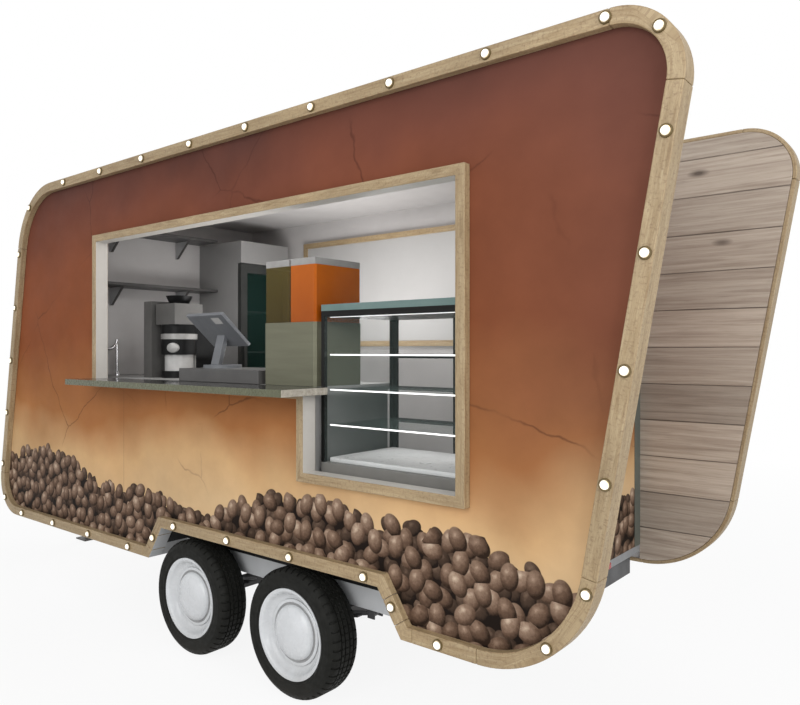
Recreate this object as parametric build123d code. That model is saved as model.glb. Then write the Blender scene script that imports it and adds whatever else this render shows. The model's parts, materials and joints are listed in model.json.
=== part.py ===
import os
from math import atan, cos, degrees, hypot, pi, radians, sin, tan

from build123d import *

# Coffee trailer. Millimetres, +Z up, ground at Z 0, +X to the rear, serving side facing -Y.

# Side panels: leaning parallelograms with rounded corners and a notch over the wheels
PANEL_BOTTOM = 467
PANEL_HEIGHT = 2377
PANEL_LENGTH = 4766
PANEL_LEAN = 10
ACUTE_SHARE = 0.0535
OBTUSE_SHARE = 0.105
BODY_WIDTH = 1820
NOTCH_CENTRE = 427
NOTCH_TOP_LENGTH = 1640
NOTCH_BOTTOM_LENGTH = 1900
NOTCH_RISE = 194

# Timber rim, wall and plank thicknesses
RIM_WIDTH = 60
RIM_PROUD = 39
RIM_LIP = 20
RIM_JOINT = 1
WALL = 40
LINING = 12
PLANK_PITCH = 205
PLANK_GROOVE = 4
SEAM = 0.5

# Marquee bulbs: six-sided domes
BULB_RADIUS = 20
BULB_HEIGHT = 18
BULB_CROWN = 11
BULB_SIDES = 6
BULB_PITCH_LEVEL = 478
BULB_PITCH_SLOPE = 395
# Level bulb runs: edge of the panel, first x, count
LEVEL_BULBS = (("bottom", -2174, 4), ("notch", -263, 4), ("bottom", 1572, 1), ("top", -1547, 9))
# Leaning bulb runs: end of the panel, first height, count
LEANING_BULBS = ((-1, 827, 5), (1, 834, 5))

# Serving window: tall towards the rear, with a higher sill towards the front
WINDOW_FRONT = -1174
WINDOW_REAR = 1700
WINDOW_TOP = 2418
WINDOW_LOW = 1059
WINDOW_SILL = 1450
WINDOW_STEP = 738
FRAME_WIDTH = 45
FRAME_LINING = 12
FRAME_INSIDE = 6

# Counter slab through the window
SLAB_TOP = 1503
SLAB_THICKNESS = 35
SLAB_REACH = 175
SLAB_REAR = 832
SLAB_INSIDE = 40
SLAB_JOINT = 1

# Cabin
CABIN_LENGTH = 3480
FLOOR_TOP = 571
FLOOR_THICKNESS = 42
CEILING = 2702
ROOF_THICKNESS = 40
STRIP_WIDTH = 80
STRIP_THICKNESS = 3
LAMP_WIDTH = 120
LAMP_HEIGHT = 32
LAMP_DEPTH = 12
LAMP_PLACE = 330

# Door in the rear wall
DOOR_WIDTH = 760
DOOR_HEIGHT = 1930
DOOR_GAP = 5
DOOR_STEP = 10
HINGE_PIN = 6
HINGE_BARREL = 12
HINGE_SIDES = 8
HINGE_LENGTH = 60
HINGE_PLATE = 4
HINGE_LEAF = 60
HINGE_END = 1
HINGE_SHARES = (0.12, 0.5, 0.88)
RUNNING_GAP = 0.05
HANDLE_SET = 70
HANDLE_LEVEL = 950
HANDLE_PLATE_WIDTH = 44
HANDLE_PLATE_HEIGHT = 180
HANDLE_PLATE = 8
HANDLE_RISE = 30
HANDLE_REACH = 40
HANDLE_BAR = 16
HANDLE_LENGTH = 120

# Wheels and axles
TYRE_RADIUS = 312.5
TYRE_WIDTH = 185
TREAD_HALF = 57
SHOULDER_HALF = 76
SHOULDER_DROP = 12
SIDEWALL_RADIUS = 262
SIDEWALL_EDGE = 6
BEAD_RADIUS = 205
BEAD_HALF = 66
BEAD_GAP = 0.3
WHEEL_RADIUS = 219
FLANGE_HALF = 84
FLANGE = 6
SEAT_HALF = 74
RIM_SHEET = 10
DISC_BACK = 24
DISC_SHOULDER = 14
DISC_RADIUS = 150
TURNED_SIDES = 20
# Dish and hub cap of a wheel: outward from the wheel's middle, radius
WHEEL_DISH = ((34, 159), (44, 176), (60, 190), (76, 197), (84, 212))
WHEEL_CAP = ((30, 159), (45, 159), (70, 128), (80, 80), (86, 24))
AXLE_AHEAD = 158
AXLE_SPACING = 816
AXLE_BEAM = 60
BEAM_OVERHANG = 10
SPINDLE_RADIUS = 25
SPINDLE_REACH = 30
HUB_RADIUS = 48
HUB_BACK = 60
HUB_FRONT = 46

# Chassis
TYRE_CLEARANCE = 50
RAIL_WIDTH = 60
RAIL_HEIGHT = 89
MEMBER_WIDTH = 60
MEMBER_HEIGHT = 60
MEMBER_PLACES = (-1000, -300, 450, 1200)
WELL_SHEET = 4
WELL_HEADROOM = 21

# Leaf springs
SPRING_HALF = 330
SPRING_CAMBER = 50
LEAF_THICKNESS = 10
LEAF_WIDTH = 50
# Shorter leaves: share of the spring's half length, from the lowest up
LEAF_SHARES = (0.45, 0.72)
EYE_SIDES = 8
EYE_RADIUS = 16
EYE_PIN = 8
EYE_WALL = 6
HANGER_PLATE = 6
HANGER_PLAY = 1
SPRING_SEAT = 6
SEAT_LENGTH = 90

# Drawbar, coupling and jack
DRAWBAR_LENGTH = 1560
DRAWBAR_WIDTH = 60
DRAWBAR_HEIGHT = 80
DRAWBAR_TIP_HALF = 105
DRAWBAR_ROOT_SET = 75
YOKE_LENGTH = 140
YOKE_SHARE = 0.6
BALL_RADIUS = 25.2
HEAD_RADIUS = 38
HEAD_REACH = 120
NECK_HALF = 34
NECK_RISE = 30
LEVER_WIDTH = 24
LEVER_HEIGHT = 14
LEVER_OVERHANG = 10
SOCKET_DEPTH = 35
JACK_SETBACK = 350
JACK_TUBE = 60
JACK_WALL = 5
JACK_CLEARANCE = 0.3
JACK_BOTTOM = 300
JACK_TOP = 800
JACK_FLANGE = 110
LEG_TOP = 530
FOOT_WIDTH = 160
FOOT_THICKNESS = 12
GUSSET = 8
GUSSET_LENGTH = 180
CRANK_RADIUS = 8
CRANK_SIDES = 8
CRANK_RISE = 20
CRANK_ARM = 112
CRANK_BAR = 10
CRANK_GRIP = 80

# Counter, worktop and the stand under the display case
COUNTER_DEPTH = 590
COUNTER_REAR = 745
BOARD = 18
STAND_GAP = 5
PLINTH_SET = 54

# Display case
CASE_SET = 62
CASE_DEPTH = 540
CASE_FRONT_X = 765
CASE_REAR_X = 1650
CASE_BASE = 1080
CASE_DECK = 1138
CASE_TOP = 1904
CASE_CANOPY = 60
CASE_POST = 22
CASE_SHELVES = (1318, 1490, 1661)
PANE = 6

# Drinks dispenser with two tanks
DISPENSER_WIDTH = 380
DISPENSER_DEPTH = 340
DISPENSER_HEIGHT = 319
DISPENSER_SET = 41
DISPENSER_RADIUS = 12
TANK_GAP = 4
TANK_SET = 4
TANK_HEIGHT = 284
TANK_RADIUS = 10
LID_HEIGHT = 34
TAP_SHARES = (0.25, 0.75)
TAP_BODY = 24
TAP_REACH = 50
TAP_RISE = 267
TAP_HEIGHT = 30
SPOUT_WIDTH = 16
SPOUT_DROP = 50

# Coffee machine: a tower, and a column under a square head and a hopper
MACHINE_FRONT_X = -1044
MACHINE_DEPTH = 360
MACHINE_SET = 211
TOWER_WIDTH = 90
TOWER_HEIGHT = 500
SPINE_WIDTH = 200
SPINE_DEPTH = 160
COLUMN_SET = 125
# Base, jug, brew head, ring, upper drum and hopper: heights above the counter and radii
MACHINE_DRUMS = (
    ((0, 112), (45, 112)), ((45, 92), (150, 92)), ((150, 112), (250, 112)),
    ((250, 116), (285, 116)), ((285, 112), (345, 112)), ((480, 60), (533, 85)),
)
BREWER_LEVELS = (345, 480)
BREWER_WIDTH = 210

# Sales terminal
DRAWER_FRONT_X = -380
DRAWER_WIDTH = 710
DRAWER_DEPTH = 380
DRAWER_HEIGHT = 75
DRAWER_SET = 31
TERMINAL_X = -179
STAND_RADIUS = 110
STAND_THICKNESS = 20
STAND_SET = 191
NECK_SIZE = (70, 30, 230)
NECK_LEAN = -15
NECK_SET = 171
NECK_LEVEL = 185
SCREEN_SIZE = (330, 262, 22)
SCREEN_LEAN = -42
SCREEN_SET = 159
SCREEN_LEVEL = 297

# Swan-neck tap
TAP_X = -1560
TAP_SET = 311
TAP_RADIUS = 11
TAP_FOOT = 22
TAP_FOOT_HEIGHT = 30
TAP_STEM = 257
TAP_BEND = 70
TAP_SPOUT = 60
TAP_SIDES = 8
TAP_BEND_STEPS = 6

# Fridge
FRIDGE_FRONT = -1166
FRIDGE_SET = 71
FRIDGE_WIDTH = 480
FRIDGE_TOP = 2527
FRIDGE_HEADER = 170
FRIDGE_WALL = 35
FRIDGE_DOOR = 40
FRIDGE_BASE = 130
FRIDGE_SILL = 90
FRIDGE_STILE = 60
FRIDGE_RAIL = 70
FRIDGE_PANE = 12
FRIDGE_ROUND = 0.49
FRIDGE_SHELF = 12
FRIDGE_SHELF_PITCH = 320
FRIDGE_SHELF_COUNT = 4
FRIDGE_SHELF_SET = 90
FRIDGE_PIN_LENGTH = 25
GRIP_LEVEL = 1400
GRIP_LENGTH = 400
GRIP_WIDTH = 18
GRIP_DEPTH = 25
GRIP_SET = 12

# Wall shelves and menu board
SHELF_LEVELS = (2162, 2552)
SHELF_DEPTH = 250
SHELF_THICKNESS = 20
SHELF_GAP = 5
SHELF_JOINT = 2
BRACKET_SHARES = (0.3, 0.8)
BRACKET_WIDTH = 20
BRACKET_DROP = 130
BRACKET_TOE = 20
BRACKET_REACH = 170
MENU_FRONT = -1034
MENU_REAR = 960
MENU_BOTTOM = 1711
MENU_TOP = 2543
MENU_DEPTH = 25
MENU_BOARD = 12
MENU_BORDER = 40

# Places worked out from the sizes above
SLOPE = tan(radians(PANEL_LEAN))
ACUTE_RADIUS = PANEL_LENGTH * ACUTE_SHARE
OBTUSE_RADIUS = PANEL_LENGTH * OBTUSE_SHARE
PANEL_TOP = PANEL_BOTTOM + PANEL_HEIGHT
PANEL_MIDDLE = PANEL_BOTTOM + PANEL_HEIGHT / 2
NOTCH_TOP = PANEL_BOTTOM + NOTCH_RISE
RIM_FACE = BODY_WIDTH / 2
WALL_FACE = RIM_FACE - RIM_PROUD
WALL_BACK = WALL_FACE - WALL
LINING_FACE = WALL_BACK - LINING
CABIN_END = CABIN_LENGTH / 2
INNER_END = CABIN_END - WALL
FLOOR_BOTTOM = FLOOR_TOP - FLOOR_THICKNESS
SLAB_BOTTOM = SLAB_TOP - SLAB_THICKNESS
SLAB_FACE = RIM_FACE + SLAB_REACH
BULB_FACE = RIM_FACE + BULB_HEIGHT
TYRE_MIDDLE = RIM_FACE - TYRE_WIDTH / 2
RAIL_OUTER = RIM_FACE - TYRE_WIDTH - TYRE_CLEARANCE
RAIL_INNER = RAIL_OUTER - RAIL_WIDTH
RAIL_BOTTOM = FLOOR_BOTTOM - RAIL_HEIGHT
RAIL_MIDDLE = RAIL_OUTER - RAIL_WIDTH / 2
AXLE_CENTRE = NOTCH_CENTRE - AXLE_AHEAD
AXLES = (("front", AXLE_CENTRE - AXLE_SPACING / 2), ("rear", AXLE_CENTRE + AXLE_SPACING / 2))
SPRING_BASE = TYRE_RADIUS + AXLE_BEAM / 2 + SPRING_SEAT
LEAF_COUNT = len(LEAF_SHARES) + 1
EYE_LEVEL = SPRING_BASE + LEAF_THICKNESS * (LEAF_COUNT - 0.5) + SPRING_CAMBER
DRAWBAR_ROOT_HALF = RAIL_OUTER - DRAWBAR_ROOT_SET
DRAWBAR_TIP = -CABIN_END - DRAWBAR_LENGTH
DRAWBAR_BOTTOM = FLOOR_BOTTOM - DRAWBAR_HEIGHT
YOKE_END = DRAWBAR_TIP - YOKE_LENGTH
HEAD_X = YOKE_END - HEAD_REACH
JACK_X = DRAWBAR_TIP + JACK_SETBACK
DOOR_BOTTOM = FLOOR_TOP + DOOR_STEP
DOOR_TOP = DOOR_BOTTOM + DOOR_HEIGHT
HINGE_X = CABIN_END + HINGE_BARREL
HINGE_Y = DOOR_WIDTH / 2 + DOOR_GAP / 2
HINGE_LEVELS = [DOOR_BOTTOM + DOOR_HEIGHT * share for share in HINGE_SHARES]
CABINET_BOTTOM = NOTCH_TOP + WELL_HEADROOM + WELL_SHEET
COUNTER_Y = COUNTER_DEPTH - WALL_BACK
CASE_FRONT_Y = CASE_SET - WALL_BACK
CASE_REAR_Y = CASE_FRONT_Y + CASE_DEPTH
CASE_CEILING = CASE_TOP - CASE_CANOPY
DISPENSER_X = COUNTER_REAR - DISPENSER_WIDTH
DISPENSER_Y = DISPENSER_SET - WALL_BACK
DISPENSER_TOP = SLAB_TOP + DISPENSER_HEIGHT
FRIDGE_FAR = WALL_BACK - FRIDGE_SET
FRIDGE_NEAR = FRIDGE_FAR - FRIDGE_WIDTH
FRIDGE_OPENING = (FLOOR_TOP + FRIDGE_SILL, FRIDGE_TOP - FRIDGE_HEADER)
FRIDGE_PIVOT = (FRIDGE_FRONT - FRIDGE_DOOR / 2, FRIDGE_FAR - FRIDGE_DOOR / 2)
SIDES = (("serving", -1), ("plain", 1))
ENDS = (-1, 1)


def edge_x(end, z):
    """Where the leaning front (-1) or rear (1) edge of a panel stands at height z."""
    return end * PANEL_LENGTH / 2 + SLOPE * (z - PANEL_MIDDLE)


# The whole is centred on its own box: from the coupling to the leaning corner, and from slab to bulbs
ACUTE_CENTRE_X = edge_x(1, PANEL_TOP - ACUTE_RADIUS) - ACUTE_RADIUS / cos(radians(PANEL_LEAN))
CENTRE_X = (HEAD_X - HEAD_RADIUS + ACUTE_CENTRE_X + ACUTE_RADIUS) / 2
CENTRE_Y = (BULB_FACE - SLAB_FACE) / 2

# Corners: x, z, radius
PANEL = [
    (edge_x(-1, PANEL_BOTTOM), PANEL_BOTTOM, ACUTE_RADIUS),
    (NOTCH_CENTRE - NOTCH_BOTTOM_LENGTH / 2, PANEL_BOTTOM, 0),
    (NOTCH_CENTRE - NOTCH_TOP_LENGTH / 2, NOTCH_TOP, 0),
    (NOTCH_CENTRE + NOTCH_TOP_LENGTH / 2, NOTCH_TOP, 0),
    (NOTCH_CENTRE + NOTCH_BOTTOM_LENGTH / 2, PANEL_BOTTOM, 0),
    (edge_x(1, PANEL_BOTTOM), PANEL_BOTTOM, OBTUSE_RADIUS),
    (edge_x(1, PANEL_TOP), PANEL_TOP, ACUTE_RADIUS),
    (edge_x(-1, PANEL_TOP), PANEL_TOP, OBTUSE_RADIUS),
]
# Corners of PANEL that the notch's slanted ends start from
NOTCH_SLANTS = (1, 3)
WINDOW = [
    (WINDOW_STEP, WINDOW_LOW, 0),
    (WINDOW_REAR, WINDOW_LOW, 0),
    (WINDOW_REAR, WINDOW_TOP, 0),
    (WINDOW_FRONT, WINDOW_TOP, 0),
    (WINDOW_FRONT, WINDOW_SILL, 0),
    (WINDOW_STEP, WINDOW_SILL, 0),
]


def block(x0, x1, y0, y1, z0, z1):
    """A block between two corners."""
    size = Box(x1 - x0, y1 - y0, z1 - z0)
    return Pos((x0 + x1) / 2, (y0 + y1) / 2, (z0 + z1) / 2) * size


def rod(radius, x, y, z0, z1):
    """An upright round rod."""
    return Pos(x, y, (z0 + z1) / 2) * Cylinder(radius, z1 - z0)


def cross_rod(radius, x, z, y0, y1):
    """A round rod lying across the trailer."""
    return Pos(x, (y0 + y1) / 2, z) * Rot(90, 0, 0) * Cylinder(radius, y1 - y0)


def faceted_rod(radius, sides, x, y, z0, z1):
    """An upright many-sided rod."""
    return Pos(x, y, z0) * extrude(RegularPolygon(radius, sides), amount=z1 - z0)


def faceted_cross_rod(radius, sides, x, z, y0, y1):
    """A many-sided rod lying across the trailer."""
    return Pos(x, y0, z) * Rot(-90, 0, 0) * extrude(RegularPolygon(radius, sides), amount=y1 - y0)


def bar(width, x, y, z0, z1):
    """An upright square bar."""
    half = width / 2
    return block(x - half, x + half, y - half, y + half, z0, z1)


def across(face, y0, y1):
    """A face drawn in (x, z), carried from y0 to y1."""
    return extrude(Plane.XZ.offset(-y0) * face, amount=y1 - y0, dir=(0, 1, 0))


def prism(corners, y0, y1):
    """A side outline of (x, z, radius) corners, carried from y0 to y1."""
    points = [(x, z) for x, z, _ in corners]
    radii = [radius for _, _, radius in corners]
    return across(make_face(FilletPolyline(*points, radius=radii, close=True)), y0, y1)


def inset(corners, depth):
    """The same outline, moved inwards by depth, with its corner radii cut by as much."""
    count = len(corners)
    lines = []
    for i in range(count):
        x0, z0, _ = corners[i]
        x1, z1, _ = corners[(i + 1) % count]
        length = hypot(x1 - x0, z1 - z0)
        ux, uz = (x1 - x0) / length, (z1 - z0) / length
        lines.append((x0 - uz * depth, z0 + ux * depth, ux, uz))
    moved = []
    for i in range(count):
        x0, z0, ux, uz = lines[i - 1]
        x1, z1, vx, vz = lines[i]
        along = ((x1 - x0) * vz - (z1 - z0) * vx) / (ux * vz - uz * vx)
        radius = max(corners[i][2] - depth, 0)
        moved.append((x0 + ux * along, z0 + uz * along, radius))
    return moved


def between(side, near, far):
    """The y range between two distances from the middle plane, on side -1 or 1."""
    return (-far, -near) if side < 0 else (near, far)


def put(name, *shapes):
    """Write one piece, or like pieces that don't touch, about the origin under the middle of the whole."""
    solids = [solid for shape in shapes for solid in shape.solids()]
    placed = [Pos(-CENTRE_X, -CENTRE_Y, 0) * solid for solid in solids]
    export_step(placed[0] if len(placed) == 1 else Compound(children=placed), f"parts/{name}.step")


def towards(corner, other):
    """Unit direction in the panel's plane from one corner to another."""
    return Vector(other[0] - corner[0], 0, other[1] - corner[1]).normalized()


def rim_joints():
    """Thin cuts across the rim where its straight rails meet the bent corners and the notch."""
    cuts = []
    count = len(PANEL)
    blade = Box(RIM_JOINT, BODY_WIDTH * 2, RIM_WIDTH * 3)
    for i in range(count):
        x, z, radius = PANEL[i]
        ways = [towards(PANEL[i], PANEL[i - 1]), towards(PANEL[i], PANEL[(i + 1) % count])]
        half = radians(ways[0].get_angle(ways[1]) / 2)
        reach = radius / tan(half) if radius else RIM_WIDTH
        for way in ways:
            angle = way.get_signed_angle(Vector(1, 0, 0), Vector(0, 1, 0))
            cuts.append(Pos(x + way.X * reach, 0, z + way.Z * reach) * Rot(0, -angle, 0) * blade)
    return cuts


def rim(side):
    """Timber rim: a proud front face with a lip round the panel's edge."""
    face = between(side, WALL_FACE, RIM_FACE)
    lip = between(side, LINING_FACE, WALL_FACE)
    front = prism(PANEL, *face) - prism(inset(PANEL, RIM_WIDTH), *face)
    back = prism(PANEL, *lip) - prism(inset(PANEL, RIM_LIP), *lip)
    return front + back


def wall(side):
    """A side panel inside its rim."""
    return prism(inset(PANEL, RIM_LIP + SEAM), *between(side, WALL_BACK, WALL_FACE))


def wing_linings(side):
    """Planked boards on the inside of a panel's two wings, with a groove at each plank's edge."""
    whole = prism(inset(PANEL, RIM_LIP + SEAM), *between(side, LINING_FACE, WALL_BACK))
    whole = whole - block(-CABIN_END, CABIN_END, -RIM_FACE, RIM_FACE, 0, PANEL_TOP)
    y0, y1 = between(side, LINING_FACE - LINING, LINING_FACE + PLANK_GROOVE)
    level = PANEL_BOTTOM + PLANK_PITCH
    grooves = []
    while level < PANEL_TOP - PLANK_PITCH / 2:
        grooves.append(block(-PANEL_LENGTH, PANEL_LENGTH, y0, y1, level, level + PLANK_GROOVE))
        level += PLANK_PITCH
    return whole - grooves


def bulb_places():
    """Middle of each bulb (x, z), along the middle line of the rim."""
    half = RIM_WIDTH / 2
    levels = {"bottom": PANEL_BOTTOM + half, "notch": NOTCH_TOP + half, "top": PANEL_TOP - half}
    places = []
    for edge, first, count in LEVEL_BULBS:
        places += [(first + i * BULB_PITCH_LEVEL, levels[edge]) for i in range(count)]
    lean = cos(radians(PANEL_LEAN))
    for end, first, count in LEANING_BULBS:
        for i in range(count):
            z = first + i * BULB_PITCH_SLOPE * lean
            places.append((edge_x(end, z) - end * half / lean, z))
    line = inset(PANEL, half)
    count = len(line)
    for i in range(count):
        x, z, radius = line[i]
        if radius:
            before, after = towards(line[i], line[i - 1]), towards(line[i], line[(i + 1) % count])
            inward = (before + after).normalized()
            reach = radius / sin(radians(before.get_angle(after) / 2)) - radius
            places.append((x + inward.X * reach, z + inward.Z * reach))
    for i in NOTCH_SLANTS:
        places.append(((line[i][0] + line[i + 1][0]) / 2, (line[i][1] + line[i + 1][1]) / 2))
    return places


def turned(sections, sides):
    """A many-sided turned piece along +Z with flat facets, from (height, radius) sections."""
    shape = Part()
    for (z0, r0), (z1, r1) in zip(sections, sections[1:]):
        lean = degrees(atan(abs(r0 - r1) * cos(pi / sides) / (z1 - z0)))
        drum = extrude(RegularPolygon(max(r0, r1), sides), amount=z1 - z0, taper=lean)
        place = Pos(0, 0, z0) if r0 >= r1 else Pos(0, 0, z1) * Rot(180, 0, 0)
        shape += place * drum
    return shape


def bulbs(side):
    """Low domed globes on the face of the rim."""
    sections = ((0, BULB_RADIUS), (BULB_HEIGHT, BULB_CROWN))
    globe = Rot(-90 * side, 0, 0) * turned(sections, BULB_SIDES)
    return [Pos(x, side * RIM_FACE, z) * globe for x, z in bulb_places()]


def slab():
    """Counter slab: through the window, and out past the frame on the serving side."""
    inside = block(WINDOW_FRONT + FRAME_WIDTH + SEAM, SLAB_REAR, -RIM_FACE, SLAB_INSIDE - WALL_BACK,
                   SLAB_BOTTOM, SLAB_TOP)
    outside = block(WINDOW_FRONT, SLAB_REAR, -SLAB_FACE, -RIM_FACE, SLAB_BOTTOM, SLAB_TOP)
    return inside + outside


def slab_passage():
    """The cut that the slab needs in the sill."""
    return block(WINDOW_FRONT + FRAME_WIDTH, SLAB_REAR + SEAM, -RIM_FACE, FRAME_LINING - LINING_FACE,
                 SLAB_BOTTOM, SLAB_TOP)


def window_frame():
    """Timber frame round the window: a proud face and a lining through the wall."""
    face = (-RIM_FACE, -WALL_FACE)
    through = (-WALL_FACE, FRAME_INSIDE - WALL_BACK)
    inner = inset(WINDOW, FRAME_WIDTH)
    frame = prism(WINDOW, *face) - prism(inner, *face)
    frame += prism(inset(WINDOW, FRAME_WIDTH - FRAME_LINING), *through) - prism(inner, *through)
    return frame - slab_passage()


def serving_wall():
    """The serving side's panel with the stepped window cut."""
    opening = inset(WINDOW, FRAME_WIDTH - FRAME_LINING - SEAM)
    return wall(-1) - prism(opening, -RIM_FACE, -LINING_FACE) - slab_passage()


def well(side):
    """Sheet wheel well behind the notch: open below and to the outside."""
    top = NOTCH_TOP + WELL_HEADROOM
    inner = [
        (NOTCH_CENTRE - NOTCH_BOTTOM_LENGTH / 2 - SEAM, PANEL_BOTTOM, 0),
        (NOTCH_CENTRE + NOTCH_BOTTOM_LENGTH / 2 + SEAM, PANEL_BOTTOM, 0),
        (NOTCH_CENTRE + NOTCH_TOP_LENGTH / 2 + SEAM, top, 0),
        (NOTCH_CENTRE - NOTCH_TOP_LENGTH / 2 - SEAM, top, 0),
    ]
    skin = prism(inset(inner, -WELL_SHEET), *between(side, RAIL_OUTER, LINING_FACE))
    skin -= prism(inner, *between(side, RAIL_OUTER + WELL_SHEET, RIM_FACE))
    return skin - block(-PANEL_LENGTH, PANEL_LENGTH, -RIM_FACE, RIM_FACE, 0, PANEL_BOTTOM)


def floor():
    """Cabin floor, cut back for the two wheel wells."""
    whole = block(-CABIN_END, CABIN_END, -WALL_BACK, WALL_BACK, FLOOR_BOTTOM, FLOOR_TOP)
    half = NOTCH_BOTTOM_LENGTH / 2 + WELL_SHEET * 2
    for _, side in SIDES:
        y0, y1 = between(side, RAIL_OUTER - SEAM, WALL_BACK)
        whole -= block(NOTCH_CENTRE - half, NOTCH_CENTRE + half, y0, y1, FLOOR_BOTTOM, FLOOR_TOP)
    return whole


def axle(x):
    """Square axle beam with a round spindle at each end."""
    reach, half = RAIL_OUTER + BEAM_OVERHANG, AXLE_BEAM / 2
    beam = block(x - half, x + half, -reach, reach, TYRE_RADIUS - half, TYRE_RADIUS + half)
    tip = TYRE_MIDDLE + SPINDLE_REACH
    return beam + cross_rod(SPINDLE_RADIUS, x, TYRE_RADIUS, -tip, tip)


def on_axle(shape, x, side):
    """A wheel's piece, drawn with +Z outwards, on its axle's end."""
    return Pos(x, side * TYRE_MIDDLE, TYRE_RADIUS) * Rot(-90 * side, 0, 0) * shape


def tyre(x, side):
    """Road tyre: level tread, rounded shoulders and sidewalls that lean in to the bead."""
    half, shoulder = TYRE_WIDTH / 2, TYRE_RADIUS - SHOULDER_DROP
    outside = turned((
        (-half, SIDEWALL_RADIUS), (-SHOULDER_HALF, shoulder), (-TREAD_HALF, TYRE_RADIUS),
        (TREAD_HALF, TYRE_RADIUS), (SHOULDER_HALF, shoulder), (half, SIDEWALL_RADIUS),
    ), TURNED_SIDES)
    edge = SIDEWALL_RADIUS - SIDEWALL_EDGE
    inside = turned((
        (-half, edge), (-BEAD_HALF, BEAD_RADIUS), (BEAD_HALF, BEAD_RADIUS), (half, edge),
    ), TURNED_SIDES)
    return on_axle(outside - inside, x, side)


def wheel(x, side):
    """Pressed steel wheel: flanged barrel, dished disc, domed cap and hub sleeve."""
    seat = BEAD_RADIUS - BEAD_GAP
    lip = FLANGE_HALF - FLANGE
    shape = turned((
        (-FLANGE_HALF, WHEEL_RADIUS), (-lip, WHEEL_RADIUS), (-SEAT_HALF, seat),
        (SEAT_HALF, seat), (lip, WHEEL_RADIUS), (FLANGE_HALF, WHEEL_RADIUS),
    ), TURNED_SIDES)
    shape -= turned((
        (-FLANGE_HALF, seat - RIM_SHEET), (DISC_SHOULDER, seat - RIM_SHEET), (DISC_BACK, DISC_RADIUS),
    ), TURNED_SIDES)
    shape -= turned(WHEEL_DISH, TURNED_SIDES)
    shape += turned(WHEEL_CAP, TURNED_SIDES)
    shape += faceted_rod(HUB_RADIUS, TURNED_SIDES, 0, 0, -HUB_BACK, DISC_BACK)
    shape -= rod(SPINDLE_RADIUS + RUNNING_GAP, 0, 0, -HUB_BACK, HUB_FRONT)
    return on_axle(shape, x, side)


def leaf(x, y, half, base):
    """One bent leaf: lowest at the axle, rising towards its ends."""
    radius = (SPRING_HALF**2 + SPRING_CAMBER**2) / (2 * SPRING_CAMBER)
    rise = radius - (radius**2 - half**2) ** 0.5
    top = base + LEAF_THICKNESS
    lower = ThreePointArc((x - half, base + rise), (x, base), (x + half, base + rise))
    upper = ThreePointArc((x + half, top + rise), (x, top), (x - half, top + rise))
    face = make_face([lower, Line(lower @ 1, upper @ 0), upper, Line(upper @ 1, lower @ 0)])
    return across(face, y - LEAF_WIDTH / 2, y + LEAF_WIDTH / 2)


def spring(x, y):
    """Stacked leaves on a seat, the top one with an eye at each end."""
    y0, y1 = y - LEAF_WIDTH / 2, y + LEAF_WIDTH / 2
    pack = block(x - SEAT_LENGTH / 2, x + SEAT_LENGTH / 2, y0, y1,
                 SPRING_BASE - SPRING_SEAT, SPRING_BASE + LEAF_THICKNESS / 2)
    halves = [SPRING_HALF * share for share in LEAF_SHARES] + [SPRING_HALF - EYE_RADIUS / 2]
    for i, half in enumerate(halves):
        pack += leaf(x, y, half, SPRING_BASE + LEAF_THICKNESS * i)
    for end in ENDS:
        pack += faceted_cross_rod(EYE_RADIUS, EYE_SIDES, x + end * SPRING_HALF, EYE_LEVEL, y0, y1)
    for end in ENDS:
        hole = EYE_PIN + RUNNING_GAP
        pack -= faceted_cross_rod(hole, EYE_SIDES, x + end * SPRING_HALF, EYE_LEVEL, y0, y1)
    return pack


def hanger(x, y):
    """Two ears and a pin that hold a spring's eye under the rail."""
    near = LEAF_WIDTH / 2 + HANGER_PLAY
    far = near + HANGER_PLATE
    half = EYE_RADIUS + EYE_WALL
    shape = faceted_cross_rod(EYE_PIN, EYE_SIDES, x, EYE_LEVEL, y - far, y + far)
    for y0, y1 in ((y - far, y - near), (y + near, y + far)):
        shape += block(x - half, x + half, y0, y1, EYE_LEVEL - half, RAIL_BOTTOM)
    return shape


def drawbar_beam(side):
    """One beam of the A-shaped drawbar, tapering in to the coupling."""
    outline = [
        (-CABIN_END, side * (DRAWBAR_ROOT_HALF - DRAWBAR_WIDTH)),
        (-CABIN_END, side * DRAWBAR_ROOT_HALF),
        (DRAWBAR_TIP, side * DRAWBAR_TIP_HALF),
        (DRAWBAR_TIP, side * (DRAWBAR_TIP_HALF - DRAWBAR_WIDTH)),
    ]
    face = make_face(Polyline(*outline, close=True))
    return extrude(Pos(0, 0, DRAWBAR_BOTTOM) * face, amount=DRAWBAR_HEIGHT, dir=(0, 0, 1))


def gusset():
    """Plate across the beams that the jack stands through."""
    run = (DRAWBAR_ROOT_HALF - DRAWBAR_TIP_HALF) / DRAWBAR_LENGTH
    corners = []
    for end in ENDS:
        x = JACK_X + end * GUSSET_LENGTH / 2
        reach = DRAWBAR_TIP_HALF + run * (x - DRAWBAR_TIP)
        corners += [(x, end * reach), (x, -end * reach)]
    face = make_face(Polyline(*corners, close=True))
    hole = bar(JACK_TUBE + SEAM * 2, JACK_X, 0, FLOOR_BOTTOM, FLOOR_BOTTOM + GUSSET)
    return extrude(Pos(0, 0, FLOOR_BOTTOM) * face, amount=GUSSET, dir=(0, 0, 1)) - hole


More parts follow.
